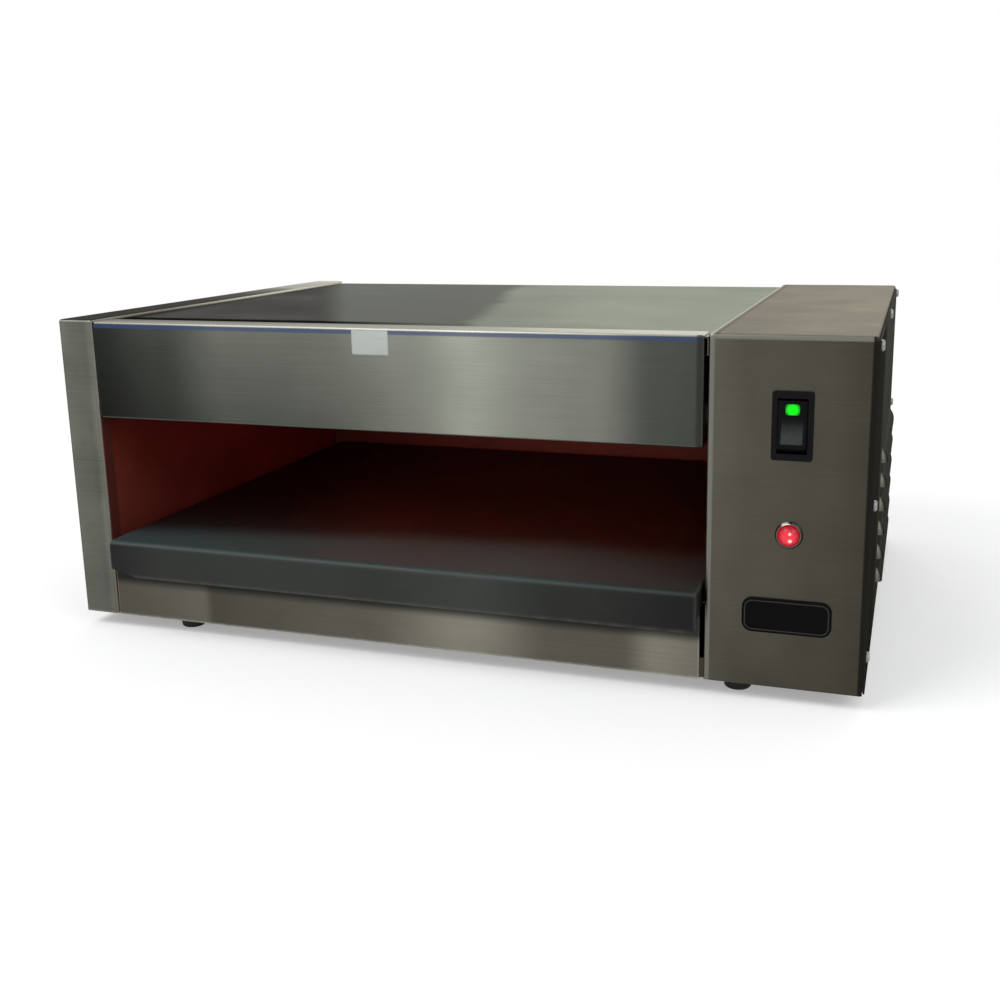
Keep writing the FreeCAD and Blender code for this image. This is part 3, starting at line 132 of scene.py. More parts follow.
def ramp(value, stops, shape="EASE"):
    # Greys or colours at places from 0 to 1; the first stop is at 0 and the last at 1
    node = addNode(value.tree, "ShaderNodeValToRGB", inputs={0: value})
    line = node.color_ramp
    line.interpolation = shape
    for stop in stops[1:-1]:
        line.elements.new(stop[0])
    for element, stop in zip(line.elements, stops):
        tint = stop[1] if isinstance(stop[1], tuple) else (stop[1],) * 3
        element.color = (*tint, 1.0)
    return Signal(node.outputs[0])


def parts(vector):
    return [Signal(part) for part in addNode(vector.tree, "ShaderNodeSeparateXYZ", inputs={0: vector}).outputs]


def joined(x, y, z=0.0):
    return outputOf(treeOf(x, y, z), "ShaderNodeCombineXYZ", inputs={0: x, 1: y, 2: z})


def spotOf(tree):
    # Where the shaded point is on its piece
    return outputOf(tree, "ShaderNodeTexCoord", output="Object")


def facingOf(tree):
    # Which way the surface faces there, on the same axes
    return parts(outputOf(tree, "ShaderNodeTexCoord", output="Normal"))


def bump(height, strength, depth=0.0002):
    return outputOf(height.tree, "ShaderNodeBump",
                    inputs={"Strength": strength, "Distance": depth, "Height": height})


def newGroup(name, takes):
    tree = bpy.data.node_groups.new(name, "ShaderNodeTree")
    for label, value in takes.items():
        kind = "NodeSocketVector" if isinstance(value, tuple) else "NodeSocketFloat"
        tree.interface.new_socket(label, in_out="INPUT", socket_type=kind).default_value = value
    entry = addNode(tree, "NodeGroupInput").outputs
    return tree, {label: Signal(entry[label]) for label in takes}


def closeGroup(tree, gives):
    for label, value in gives.items():
        kind = "NodeSocketColor" if value.socket.type == "RGBA" else "NodeSocketFloat"
        tree.interface.new_socket(label, in_out="OUTPUT", socket_type=kind)
    addNode(tree, "NodeGroupOutput", inputs=gives)
    return tree


def useGroup(tree, group, **values):
    node = addNode(tree, "ShaderNodeGroup", {"node_tree": group},
                   {label.replace("_", " "): value for label, value in values.items()})
    return {socket.name: Signal(socket) for socket in node.outputs}


# Effects shared by several finishes; grain, cloud and patch run from -0.5 to 0.5

def makeSheetGrain():
    # Brushing runs along X on front and top faces, along Y on the side faces
    tree, take = newGroup("sheetGrain", {"Along": 5.0, "Across": 700.0, "Cloud Size": 8.0})
    spot = spotOf(tree)
    x, y, z = parts(spot)
    side = calc("GREATER_THAN", abs(facingOf(tree)[0]), 0.7)
    along = mixValue(side, x, y)
    across = mixValue(side, y + z, z)
    coarse = joined(along * take["Along"], across * take["Across"], side * 3.0)
    grain = noise(coarse, 1.0, 3.0, 0.6) * 0.4 + noise(scaled(coarse, 3.7), 1.0) * 0.6
    # A few long handling scratches, slanted over the grain
    slant = joined((across * 0.3 + along) * 9.0, (along * -0.3 + across) * 420.0, 5.0)
    return closeGroup(tree, {"Grain": grain - 0.5, "Cloud": noise(spot, take["Cloud Size"], 3.0, 0.55) - 0.5,
                             "Scratch": between(noise(slant, 1.0, 1.0), 0.74, 0.8)})


def makeBoxEdge():
    # 1 near the outer edges of a piece's box, broken up by a fine noise
    tree, take = newGroup("boxEdge", {"Low": (0.0, 0.0, 0.0), "High": (1.0, 1.0, 1.0), "Width": 0.003,
                                      "Even": 0.0})
    spot = spotOf(tree)
    gap = vectorCalc("MINIMUM", vectorCalc("SUBTRACT", spot, take["Low"]),
                     vectorCalc("SUBTRACT", take["High"], spot))
    a, b, c = parts(gap)
    middle = calc("MAXIMUM", calc("MINIMUM", a, b), calc("MINIMUM", calc("MAXIMUM", a, b), c))
    near = between(middle, 0.0, take["Width"], 1.0, 0.0)
    broken = between(noise(spot, 90.0, 3.0, 0.7), 0.3, 0.65, 0.35, 1.0)
    return closeGroup(tree, {"Edge": near * mixValue(take["Even"], broken, 1.0)})


def makePaintedLine():
    # 1 along a line at one place on an axis, fading in between two places on another: where a painted
    # highlight or painted shade line goes
    tree, take = newGroup("paintedLine", {"Along": 0.0, "Place": 0.0, "Width": 0.002, "Fade": 0.0,
                                       "Fade From": -1.0, "Fade To": -0.9})
    near = between(abs(take["Along"] - take["Place"]), take["Width"] * 0.45, take["Width"], 1.0, 0.0)
    return closeGroup(tree, {"Line": near * between(take["Fade"], take["Fade From"], take["Fade To"])})


def makeHeatTint():
    # Straw, bronze and blue bands where the steel has been hottest, next to the tubes
    tree, take = newGroup("heatTint", {"Cool Level": 0.09, "Hot Level": 0.2})
    spot = spotOf(tree)
    level = (noise(spot, 14.0, 4.0, 0.6) - 0.5) * 0.05 + parts(spot)[2]
    heat = between(level, take["Cool Level"], take["Hot Level"])
    tint = ramp(heat, [(0.0, (0.9, 0.88, 0.84)), (0.35, (0.95, 0.8, 0.55)), (0.6, (0.8, 0.5, 0.3)),
                       (0.82, (0.5, 0.3, 0.32)), (1.0, (0.36, 0.3, 0.42))], "LINEAR")
    return closeGroup(tree, {"Tint": tint, "Heat": heat})


def makeMouldGrain():
    # Fine moulded or fired texture with a slow unevenness
    tree, take = newGroup("mouldGrain", {"Grain Size": 900.0, "Patch Size": 40.0})
    spot = spotOf(tree)
    return closeGroup(tree, {"Grain": noise(spot, take["Grain Size"], 3.0, 0.6) - 0.5,
                             "Patch": noise(spot, take["Patch Size"], 3.0, 0.55) - 0.5})


def makeDust():
    # Thin settled dust on faces that look up
    tree, take = newGroup("dust", {"Amount": 0.3, "Patch Size": 30.0})
    patch = between(noise(spotOf(tree), take["Patch Size"], 4.0, 0.65), 0.35, 0.75)
    return closeGroup(tree, {"Dust": between(facingOf(tree)[2], 0.3, 0.95) * patch * take["Amount"]})


sheetGrain = makeSheetGrain()
boxEdge = makeBoxEdge()
paintedLine = makePaintedLine()
heatTint = makeHeatTint()
mouldGrain = makeMouldGrain()
dust = makeDust()
print("shared effects built")


# Finishes

def newMaterial(name):
    material = bpy.data.materials.new(name)
    material.use_nodes = True
    material.node_tree.nodes.clear()
    return material, material.node_tree


def surfaced(material, values):
    shader = addNode(material.node_tree, "ShaderNodeBsdfPrincipled", inputs=values)
    addNode(material.node_tree, "ShaderNodeOutputMaterial", inputs={"Surface": shader.outputs[0]})
    return material


# Values that every brushed sheet starts from; each panel changes what differs. Most colours here are painted
# light: reflection bands on the front and top, flanks at a painted level, and painted highlight and shade
# lines
sheetLook = {
    "pale": (0.22, 0.225, 0.2), "dark": (0.1, 0.1, 0.09),
    "front": [(0.0, 0.5), (0.5, 0.8), (1.0, 0.6)],      # painted reflection bands, from dark to pale along the front
    "foot": 1.0, "footLeft": None,      # painted shade: brightness at the foot of a front face, against its top
    "overPale": (0.2, 0.21, 0.18), "overDark": (0.04, 0.036, 0.032),
    "over": [(0.0, 0.5), (1.0, 0.8)],   # painted reflection bands, from dark to pale over the top
    "overDeep": False,      # the top's bands run along X, or front to back
    "overBands": [],        # painted reflection bands slanting over the top: skew, from, to, colour
    # The flanks' painted level, and how much darker their foot is, as painted shade
    "side": (0.12, 0.12, 0.105), "sideLow": 1.0,
    "wander": 0.12,         # how far the clouding pushes the bands about
    "along": 4.0, "across": 800.0, "grain": 0.35, "scratch": 0.05,
    "cloudSize": 8.0, "cloud": 0.35,
    "calmSide": 0.5,        # how much of the clouding shows on the flanks
    "metal": 1.0, "rough": 0.34, "anisotropy": 0.55, "grazing": 0.6, "shine": 0.5,
    "overDull": 0.0,        # how far the pale part of the top loses its metal look
    "deadLines": False,     # the painted lines lose it
    "dullEdgeOn": False,    # the flanks lose it where they are seen edge-on
    # Edge wear along the box's edges, its pale colour partly a painted bend highlight
    "edge": 0.55, "edgeWidth": 0.0022, "edgeEven": 0.3, "edgeColour": (0.42, 0.42, 0.37),
    "lines": [],            # painted highlight and painted shade lines: face, axis, place, half width, colour, strength, fade
    "heat": 0.0, "bump": 0.12, "dust": 0.12,
    "inner": None,          # painted red glow of the heaters on a low face that is turned into the bay
}
dustColour = (0.3, 0.29, 0.27)


def paintedLightBands(look, box, place, nz, onSide, cloud):
    # Painted reflections and shade: broad light and dark bands along the front and over the top, and flanks at
    # their own painted level
    low, high = box
    x, y, z = place
    run = calc("MULTIPLY_ADD", cloud, look["wander"], between(x, low[0], high[0], soft=False), clamp=True)
    foot = look["foot"]
    # Painted shade: the foot of the front at its own level, with another level at the left end
    if look["footLeft"]:
        foot = between(run, 0.4, 0.62, look["footLeft"], foot)
    front = mixColour(ramp(run, look["front"]), look["dark"], look["pale"])
    front = scaled(front, between(z, low[2], high[2], foot, 1.0, soft=False))
    depth = between(y, low[1], high[1], soft=False)
    overLevel = ramp(depth if look["overDeep"] else run, look["over"])
    over = mixColour(overLevel, look["overDark"], look["overPale"])
    # Painted reflection bands slanting over the top
    for skew, start, end, colour in look["overBands"]:
        over = mixColour(between(y * skew + (cloud * 0.03 + x), start, end), over, colour)
    # Flanks at their painted level, darker at the foot as painted shade
    side = scaled(look["side"], between(z, low[2], high[2], look["sideLow"], 1.0, soft=False))
    return mixColour(onSide, mixColour(between(nz, 0.45, 0.85), front, over), side), overLevel


def brushedSheet(node, name, **changes):
    look = dict(sheetLook, **changes)
    low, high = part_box(node)
    material, tree = newMaterial(name)
    x, y, z = place = parts(spotOf(tree))
    nx, ny, nz = facingOf(tree)
    sideways = abs(nx)
    onSide = between(sideways, 0.6, 0.9)
    steel = useGroup(tree, sheetGrain, Along=look["along"], Across=look["across"],
                     Cloud_Size=look["cloudSize"])
    grain, cloud = steel["Grain"], steel["Cloud"]
    tint, overLevel = paintedLightBands(look, (low, high), place, nz, onSide, cloud)
    if look["heat"]:
        hot = useGroup(tree, heatTint)
        tint = mixColour(hot["Heat"] * look["heat"], tint, vectorCalc("MULTIPLY", tint, hot["Tint"]))
    clouding = mixValue(onSide, look["cloud"] * 2, look["cloud"] * look["calmSide"] * 2)
    tint = scaled(tint, grain * (look["grain"] * 2) + 1.0 + cloud * clouding)
    tint = mixColour(steel["Scratch"] * look["scratch"], tint, look["edgeColour"])
    # Wear along the box's edges, lightened partly as a painted bend highlight
    edge = useGroup(tree, boxEdge, Low=tuple(low), High=tuple(high), Width=look["edgeWidth"],
                    Even=look["edgeEven"])["Edge"]
    tint = mixColour(edge * look["edge"], tint, look["edgeColour"])
    metal = look["metal"]
    axes = {"x": x, "y": y, "z": z}
    faces = {"front": between(ny, -0.6, -0.3, 1.0, 0.0), "over": between(nz, 0.5, 0.8), "side": onSide}
    # Painted highlights along bends and painted shade lines by gaps and under parts
    for face, axis, spot, width, colour, strength, *fade in look["lines"]:
        fadeAxis, fadeFrom, fadeTo = fade[0] if fade else ("x", -1.0, -0.9)
        line = useGroup(tree, paintedLine, Along=axes[axis], Place=spot, Width=width,
                        Fade=axes[fadeAxis], Fade_From=fadeFrom, Fade_To=fadeTo)["Line"] * faces[face]
        tint = mixColour(line * strength, tint, colour)
        if look["deadLines"]:
            metal = metal * (1.0 - line)
    dusty = useGroup(tree, dust, Amount=look["dust"])["Dust"]
    tint = mixColour(dusty, tint, dustColour)
    if look["overDull"]:
        metal = metal * (1.0 - faces["over"] * overLevel * look["overDull"])
    if look["dullEdgeOn"]:
        glance = outputOf(tree, "ShaderNodeLayerWeight", inputs={"Blend": 0.5}, output="Facing")
        metal = metal * (1.0 - between(glance, 0.7, 0.84) * onSide)
    # Painted red glow of the heaters on the low face turned into the bay
    if look["inner"]:
        turnedIn = between(nx, 0.6, 0.9) * between(z, 0.19, 0.2, 1.0, 0.0)
        tint = mixColour(turnedIn, tint, look["inner"])
        metal = metal * (1.0 - turnedIn * 0.8)
    # The highlight of brushed steel smears across the grain
    turned = calc("GREATER_THAN", sideways, 0.7)
    normal = outputOf(tree, "ShaderNodeNewGeometry", output="Normal")
    return surfaced(material, {
        "Base Color": tint, "Metallic": metal, "Anisotropic": look["anisotropy"],
        "Roughness": calc("ADD", grain * 0.22 + look["rough"] + cloud * 0.18, dusty * 0.4, clamp=True),
        "Specular IOR Level": look["shine"],
        "Specular Tint": (look["grazing"], look["grazing"], look["grazing"] * 0.96),
        "Tangent": vectorCalc("CROSS_PRODUCT", normal, joined(1.0 - turned, turned)),
        "Normal": bump(grain, look["bump"]),
    })


def trayCoating(name, values):
    # Dark baked coating, rubbed on top with wear along the tray's edges, and painted light, shadow and
    # reflection on the top and lip
    material, tree = newMaterial(name)
    low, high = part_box("tray")
    spot = spotOf(tree)
    x, y = parts(spot)[:2]
    grains = useGroup(tree, mouldGrain, Grain_Size=1400.0, Patch_Size=7.0)
    patch = grains["Patch"]
    # Painted light and shadow: a paler lit strip behind the lip, the rest of the top in the fascia's painted
    # shadow; the strip grows wider to the right
    reach, wider = values["stripWider"]
    deep = patch * 0.03 + y - between(x, low[0], low[0] + reach, 0.0, wider, soft=False)
    stripFrom, stripTo = values["strip"]
    top = mixColour(between(deep, low[1] + stripFrom, low[1] + stripTo), values["near"], values["far"])
    # Painted shade: the top darker towards the right
    top = scaled(top, between(x, low[0] + values["shadeFrom"], high[0], 1.0, values["rightShade"]))
    # Painted reflection: the lip's brightness along its run
    lip = scaled(values["lip"], ramp(between(x, low[0], high[0], soft=False), values["lipRun"]))
    tint = scaled(mixColour(between(facingOf(tree)[2], 0.35, 0.8), lip, top), patch * 0.5 + 1.0)
    rub = noise(vectorCalc("MULTIPLY", spot, (26.0, 5.0, 26.0)), 1.0, 4.0, 0.65)
    rubbed = between(rub, 0.55, 0.75) * values["rub"]
    tint = mixColour(rubbed, tint, values["rubbed"])
    # Edge wear, whose pale colour also serves as a painted highlight on the lip's top bend
    edge = useGroup(tree, boxEdge, Low=tuple(low), High=tuple(high), Width=0.0035)["Edge"]
    return surfaced(material, {
        "Base Color": mixColour(edge * values["wear"], tint, values["wearAndSheen"]),
        "Roughness": patch * 0.2 + (rubbed * -0.2 + values["rough"]), "Metallic": 0.0, "IOR": 1.5,
        "Specular IOR Level": values["gloss"], "Normal": bump(grains["Grain"], 0.25, 0.0001),
    })


def turnedMetal(name, tint, rough, wearAndSheen=0.3, spread=0.25, bright=None):
    # Small metal parts: plated, cast or drawn, and one may have a painted glint
    material, tree = newMaterial(name)
    grains = useGroup(tree, mouldGrain, Grain_Size=1600.0, Patch_Size=120.0)
    colour = scaled(tint, grains["Patch"] * (wearAndSheen * 2) + 1.0)
    # Painted glint: a pale spot in the base colour
    if bright:
        away = vectorCalc("DISTANCE", spotOf(tree), bright["at"], output="Value")
        near = between(away, bright["size"] * 0.5, bright["size"], 1.0, 0.0)
        colour = mixColour(near, colour, bright["tint"])
    return surfaced(material, {
        "Base Color": colour, "Metallic": 1.0,
        "Roughness": calc("MULTIPLY_ADD", grains["Patch"], spread, rough, clamp=True),
        "Normal": bump(grains["Grain"], 0.12, 0.00008),
    })


def plainMould(name, tint, rough, grainSize=1100.0, relief=0.2, patchy=0.25, dusty=0.15, gloss=0.4):
    # Moulded plastic, rubber, nylon or ceramic
    material, tree = newMaterial(name)
    grains = useGroup(tree, mouldGrain, Grain_Size=grainSize, Patch_Size=70.0)
    colour = scaled(tint, grains["Patch"] * (patchy * 2) + 1.0)
    settled = useGroup(tree, dust, Amount=dusty, Patch_Size=60.0)["Dust"]
    return surfaced(material, {
        "Base Color": mixColour(settled, colour, (0.32, 0.3, 0.27)),
        "Roughness": calc("MULTIPLY_ADD", grains["Patch"], 0.2, rough, clamp=True),
        "Specular IOR Level": gloss, "Normal": bump(grains["Grain"], relief, 0.0001),
    })


def endGap(x, node):
    # How far a point is from the nearer end of a tube or coil along X
    low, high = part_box(node)
    return calc("MINIMUM", x - low[0], high[0] - x)


def quartzGlass(name, values):
    # Clear fused quartz with a painted warm glow, the coil's light in the glass, and a whitish bloom near its
    # ends
    material, tree = newMaterial(name)
    spot = spotOf(tree)
    ends = endGap(parts(spot)[0], "quartz_tube_1")
    bloom = between(ends, *values["bloom"], 1.0, 0.0) * noise(spot, 160.0, 3.0)
    rim = outputOf(tree, "ShaderNodeLayerWeight", inputs={"Blend": 0.3}, output="Facing")
    return surfaced(material, {
        "Base Color": values["tint"], "Roughness": bloom * 0.3 + values["rough"], "IOR": 1.46,
        "Alpha": calc("MULTIPLY_ADD", rim, values["rimAlpha"], bloom * 0.3 + values["alpha"], clamp=True),
        "Emission Color": mixColour(bloom, values["glow"], values["endGlow"]),
        "Emission Strength": values["strength"],
    })


def glowingWire(name, values):
    # Resistance wire at red heat, dull where it meets its cold leads
    material, tree = newMaterial(name)
    spot = spotOf(tree)
    hot = between(endGap(parts(spot)[0], "heater_coil_1"), values["cold"], values["warm"])
    hot = hot * between(noise(spot, 60.0), 0.2, 0.8, 0.75, 1.0)
    return surfaced(material, {
        "Base Color": mixColour(hot, values["coldTint"], values["hotTint"]),
        "Roughness": hot * 0.2 + 0.5, "Metallic": 0.6,
        "Emission Color": mixColour(hot, values["endGlow"], values["glow"]),
        "Emission Strength": values["strength"],
    })


def rockerPlastic(name, values):
    # Glossy black, with a paler patch under the window: a painted reflection on the lower half's face
    material, tree = newMaterial(name)
    low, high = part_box("rocker")
    x, z = parts(spotOf(tree))[::2]
    grains = useGroup(tree, mouldGrain, Grain_Size=1500.0, Patch_Size=160.0)
    rise = between(z, low[2], high[2], soft=False)
    across = abs(x - (low[0] + high[0]) / 2)
    # Painted reflection: the paler patch, broken up by the moulding's patches
    wearAndSheen = between(rise, *values["starts"]) * between(rise, *values["ends"], 1.0, 0.0)
    wearAndSheen = wearAndSheen * between(across, *values["halfWidth"], 1.0, 0.0)
    wearAndSheen = wearAndSheen * between(grains["Patch"], -0.3, 0.2, 0.75, 1.0)
    return surfaced(material, {
        "Base Color": mixColour(wearAndSheen, values["dark"], values["patch"]),
        "Roughness": wearAndSheen * 0.25 + values["rough"],
        "Specular IOR Level": values["gloss"], "Normal": bump(grains["Grain"], 0.08, 0.0001),
    })


def litPlastic(name, node, values):
    # Translucent lens lit from behind: brightest in its middle, with moulded facets
    material, tree = newMaterial(name)
    low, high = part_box(node)
    spot = spotOf(tree)
    x, z = parts(spot)[::2]
    across = x - (low[0] + high[0]) / 2
    rise = z - (low[2] + high[2]) / 2
    reach = (high[0] - low[0]) / 2
    away = calc("SQRT", across * across + rise * rise)
    bright = between(away, reach * values["core"], reach * values["rim"], 1.0, 0.0)
    facet = calc("SINE", calc("ARCTAN2", rise, across) * values["facets"])
    rings = calc("SINE", away * (2 * math.pi / values["ring"]))
    pattern = calc("MULTIPLY_ADD", facet * rings, values["relief"], bright, clamp=True)
    glow = mixColour(pattern, values["shade"], values["bright"])
    for aside, up, size in values.get("glints", []):    # painted white highlights, emitted by the lens
        near = vectorCalc("LENGTH", joined(across - aside, rise - up), output="Value")
        glow = mixColour(between(near, size * 0.4, size, 1.0, 0.0), glow, values["glint"])
    return surfaced(material, {
        "Base Color": mixColour(pattern, (0.0, 0.0, 0.0), values["body"]),
        "Roughness": noise(spot, 400.0) * 0.12 + 0.08, "Emission Color": glow, "Emission Strength": 1.0,
        "Specular IOR Level": values["gloss"], "Normal": bump(pattern, 0.3, 0.0003),
    })


def braidSleeve(name, tint):
    # Woven fibreglass sleeve over the leads
    material, tree = newMaterial(name)
    spot = spotOf(tree)
    turned = outputOf(tree, "ShaderNodeMapping", inputs={"Vector": spot, "Rotation": (0.0, 0.0, math.pi / 2)})
    one, two = (outputOf(tree, "ShaderNodeTexWave", {"wave_type": "BANDS", "bands_direction": "DIAGONAL"},
                         {"Vector": way, "Scale": 260.0, "Distortion": 1.0, "Detail": 1.0}, 1)
                for way in (spot, turned))
    weave = calc("MAXIMUM", one, two)
    return surfaced(material, {
        "Base Color": scaled(tint, weave * 0.4 + (noise(spot, 50.0, 3.0) * 0.4 + 0.45)),
        "Roughness": weave * -0.2 + 0.85, "Normal": bump(weave, 0.5, 0.0003),
    })


def woolBoard(name, tint):
    # Pressed mineral wool over the reflector
    material, tree = newMaterial(name)
    spot = spotOf(tree)
    fibre = noise(vectorCalc("MULTIPLY", spot, (60.0, 160.0, 700.0)), 1.0, 5.0, 0.7)
    lumps = noise(spot, 45.0, 4.0, 0.6)
    shade = fibre * 0.5 + (lumps * 0.5 + 0.5)
    return surfaced(material, {"Base Color": scaled(tint, shade), "Roughness": lumps * 0.1 + 0.88,
                               "Normal": bump(shade, 0.8, 0.001)})


def labelFilm(name, values):
    # Bare metallised film, a little scuffed and dirty at its rim
    material, tree = newMaterial(name)
    (across, up), wide, tall = values["middle"], values["wide"] / 2, values["tall"] / 2
    edge = useGroup(tree, boxEdge, Low=(across - wide, values["face"] - values["high"], up - tall),
                    High=(across + wide, values["face"], up + tall), Width=0.0012)["Edge"]
    scuff = noise(vectorCalc("MULTIPLY", spotOf(tree), (90.0, 90.0, 400.0)), 1.0, 4.0, 0.7)
    colour = scaled(values["tint"], scuff * 0.3 + 0.85)
    return surfaced(material, {"Base Color": mixColour(edge * 0.5, colour, (0.2, 0.2, 0.18)),
                               "Roughness": scuff * 0.25 + 0.35, "Normal": bump(scuff, 0.1, 0.0001)})


# Each brushed panel's finish, as changes to sheetLook; the bay's three walls share some
bayLook = dict(heat=0.5, rough=0.5, shine=0.2, dust=0.0)
sheets = {
    # Fascia: painted reflection bands on the front, a cream painted reflection over the top flange, a painted
    # highlight along the flange's front edge, a painted dark-blue reflection line under the top bend, and
    # painted shade at the right end by the gap
    "front_fascia": dict(
        name="fasciaSteel", pale=(0.32, 0.333, 0.283), dark=(0.022, 0.024, 0.022), foot=0.85, footLeft=0.5,
        front=[(0.0, 0.0), (0.12, 0.12), (0.25, 0.43), (0.34, 0.4), (0.56, 0.7), (0.655, 1.0), (0.76, 0.68),
               (0.84, 0.6), (0.93, 0.18), (1.0, 0.14)],
        overPale=(0.6, 0.59, 0.51), over=[(0.0, 0.16), (0.2, 0.22), (0.56, 0.56), (0.8, 0.76), (1.0, 0.78)],
        wander=0.03, cloud=0.2, cloudSize=11.0, grain=0.28, scratch=0.03, shine=0.1, dullEdgeOn=True,
        edge=0.5, edgeEven=0.7, edgeColour=(0.33, 0.325, 0.285),
        lines=[("front", "z", 0.2591, 0.0021, (0.045, 0.07, 0.165), 0.7),
               ("over", "y", -0.2215, 0.013, (0.6, 0.59, 0.51), 0.3, ("x", 0.02, -0.1)),
               ("front", "x", 0.2055, 0.0055, (0.03, 0.031, 0.028), 0.85),
               ("side", "x", 0.207, 0.003, (0.02, 0.02, 0.018), 1.0)]),
    # End cap: painted reflection bands on the front and, front to back, over the top, painted red glow on its
    # inner face, and a painted dark line along the top's inner edge that turns into a painted highlight
    # towards the back
    "left_end_cap": dict(
        name="endCapSteel", pale=(0.22, 0.225, 0.19), dark=(0.1, 0.105, 0.09), foot=0.66,
        front=[(0.0, 0.6), (0.5, 0.4), (0.72, 0.3), (0.88, 0.65), (1.0, 0.3)], inner=(0.1, 0.028, 0.022),
        overDark=(0.02, 0.014, 0.009), overPale=(0.6, 0.58, 0.47), overDeep=True, overDull=0.8,
        over=[(0.0, 0.03), (0.35, 0.05), (0.55, 0.12), (0.68, 0.3), (0.8, 0.75), (1.0, 1.0)],
        cloudSize=16.0, cloud=0.5, calmSide=0.25, grazing=0.12, edgeColour=(0.3, 0.29, 0.25),
        lines=[("side", "z", 0.264, 0.006, (0.12, 0.11, 0.09), 0.9),
               ("side", "z", 0.264, 0.006, (0.62, 0.6, 0.5), 0.9, ("y", -0.16, 0.12))]),
    # Lower panel: painted reflection bands on the front, a painted shadow under and behind the tray's lip, and
    # a painted highlight on its left bend
    "lower_front_panel": dict(
        name="lowerPanelSteel", pale=(0.26, 0.25, 0.205), dark=(0.064, 0.06, 0.046),
        front=[(0.0, 0.1), (0.17, 0.3), (0.19, 0.03), (0.46, 0.22), (0.65, 0.76), (0.78, 0.16), (0.88, 0.16),
               (0.935, 0.7), (1.0, 0.5)],
        wander=0.02, cloud=0.22, cloudSize=14.0,
        lines=[("front", "z", 0.0535, 0.0165, (0.008, 0.008, 0.01), 0.85),
               ("front", "z", 0.066, 0.009, (0.008, 0.008, 0.01), 0.85),
               ("front", "x", -0.2938, 0.0016, (0.26, 0.25, 0.21), 0.7)]),
    # Top cover: painted reflection bands slanting over the top, a painted shadow band behind the fascia's
    # flange, and its front-facing edge in the gap darkened as painted shade
    "top_cover": dict(
        name="topCoverSteel", overPale=(0.1, 0.106, 0.09), overDark=(0.022, 0.019, 0.016),
        over=[(0.0, 0.0), (1.0, 0.0)], pale=(0.035, 0.035, 0.03), dark=(0.02, 0.02, 0.018),
        overBands=[(0.516, -0.208, -0.172, (0.152, 0.162, 0.138)),
                   (0.237, -0.034, -0.01, (0.305, 0.33, 0.272))],
        edge=0.1, dust=0.02, deadLines=True, shine=0.0, grazing=0.35, cloud=0.12,
        lines=[("over", "y", -0.187, 0.02, (0.004, 0.003, 0.003), 0.9, ("x", 0.04, -0.09))]),
    # Control housing: painted reflection on the front fading from left to right and towards its foot, a paler
    # top and darker flanks as painted light and shade, painted highlights on the left and top bends, and
    # painted shade lines beside the top's left seam and along the right edge
    "control_housing": dict(
        name="housingSteel", pale=(0.105, 0.1, 0.078), dark=(0.04, 0.036, 0.025), foot=0.78,
        front=[(0.0, 0.95), (0.3, 0.7), (0.7, 0.52), (1.0, 0.28)], side=(0.045, 0.042, 0.035),
        overPale=(0.22, 0.195, 0.15), overDark=(0.11, 0.1, 0.08), over=[(0.0, 0.7), (1.0, 1.0)],
        grain=0.34, cloud=0.3, cloudSize=18.0, edge=0.0, grazing=0.45, dullEdgeOn=True, shine=0.0,
        lines=[("front", "x", 0.2117, 0.0028, (0.17, 0.168, 0.145), 0.9),
               ("front", "z", 0.2622, 0.0026, (0.19, 0.19, 0.165), 0.9),
               ("over", "y", -0.2212, 0.0024, (0.16, 0.155, 0.13), 0.8),
               ("over", "x", 0.2112, 0.0024, (0.5, 0.49, 0.42), 0.8),
               ("over", "x", 0.2155, 0.0016, (0.06, 0.06, 0.05), 0.6),
               ("front", "x", 0.3198, 0.0028, (0.012, 0.011, 0.01), 0.95)]),
    # Side cover: painted shade, darker at the foot, towards the front and on its front edge
    "side_cover": dict(
        name="sideCoverSteel", pale=(0.12, 0.115, 0.095), dark=(0.05, 0.048, 0.04), side=(0.065, 0.067, 0.056),
        sideLow=0.5, edge=0.04, grazing=0.1, rough=0.4, dullEdgeOn=True, shine=0.0, dust=0.0,
        lines=[("side", "y", -0.22, 0.17, (0.012, 0.012, 0.009), 0.8),
               ("front", "y", -0.22, 0.01, (0.014, 0.013, 0.01), 0.95)]),
    "rear_panel": dict(name="rearSteel", pale=(0.2, 0.2, 0.18), dark=(0.11, 0.11, 0.1)),
    # Base pan: dark, as painted shade where it shows in the slot by the lower panel
    "base_pan": dict(name="basePanSteel", pale=(0.06, 0.052, 0.04), dark=(0.04, 0.035, 0.028), edge=0.0),
    # Bay walls: their red colour is painted glow of the heaters, over a real heat tint
    "left_inner_wall": dict(
        bayLook, name="leftWallSteel", side=(0.19, 0.042, 0.03), grazing=0.3, metal=0.25, edge=0.2, cloud=0.9,
        cloudSize=13.0),
    "right_inner_wall": dict(
        bayLook, name="rightWallSteel", side=(0.2, 0.075, 0.06), grazing=0.3, metal=0.25, edge=0.2),
    "deck_shelf": dict(name="shelfSteel", heat=0.6, rough=0.45, overPale=(0.1, 0.08, 0.07)),
    # Back wall: red as painted glow of the heaters, over a real heat tint
    "cavity_back_wall": dict(
        bayLook, name="backWallSteel", pale=(0.22, 0.09, 0.07), dark=(0.15, 0.06, 0.05), metal=0.3),
    "reflector": dict(
        name="reflectorSheet", pale=(0.62, 0.62, 0.6), dark=(0.5, 0.5, 0.48), side=(0.5, 0.5, 0.48),
        overPale=(0.5, 0.5, 0.48), overDark=(0.4, 0.4, 0.38), heat=0.7, rough=0.24, grazing=0.9),
    "guard_ledge": dict(name="ledgeSteel", heat=0.8, rough=0.45),
}
finishes = {node: brushedSheet(node, **changes) for node, changes in sheets.items()}
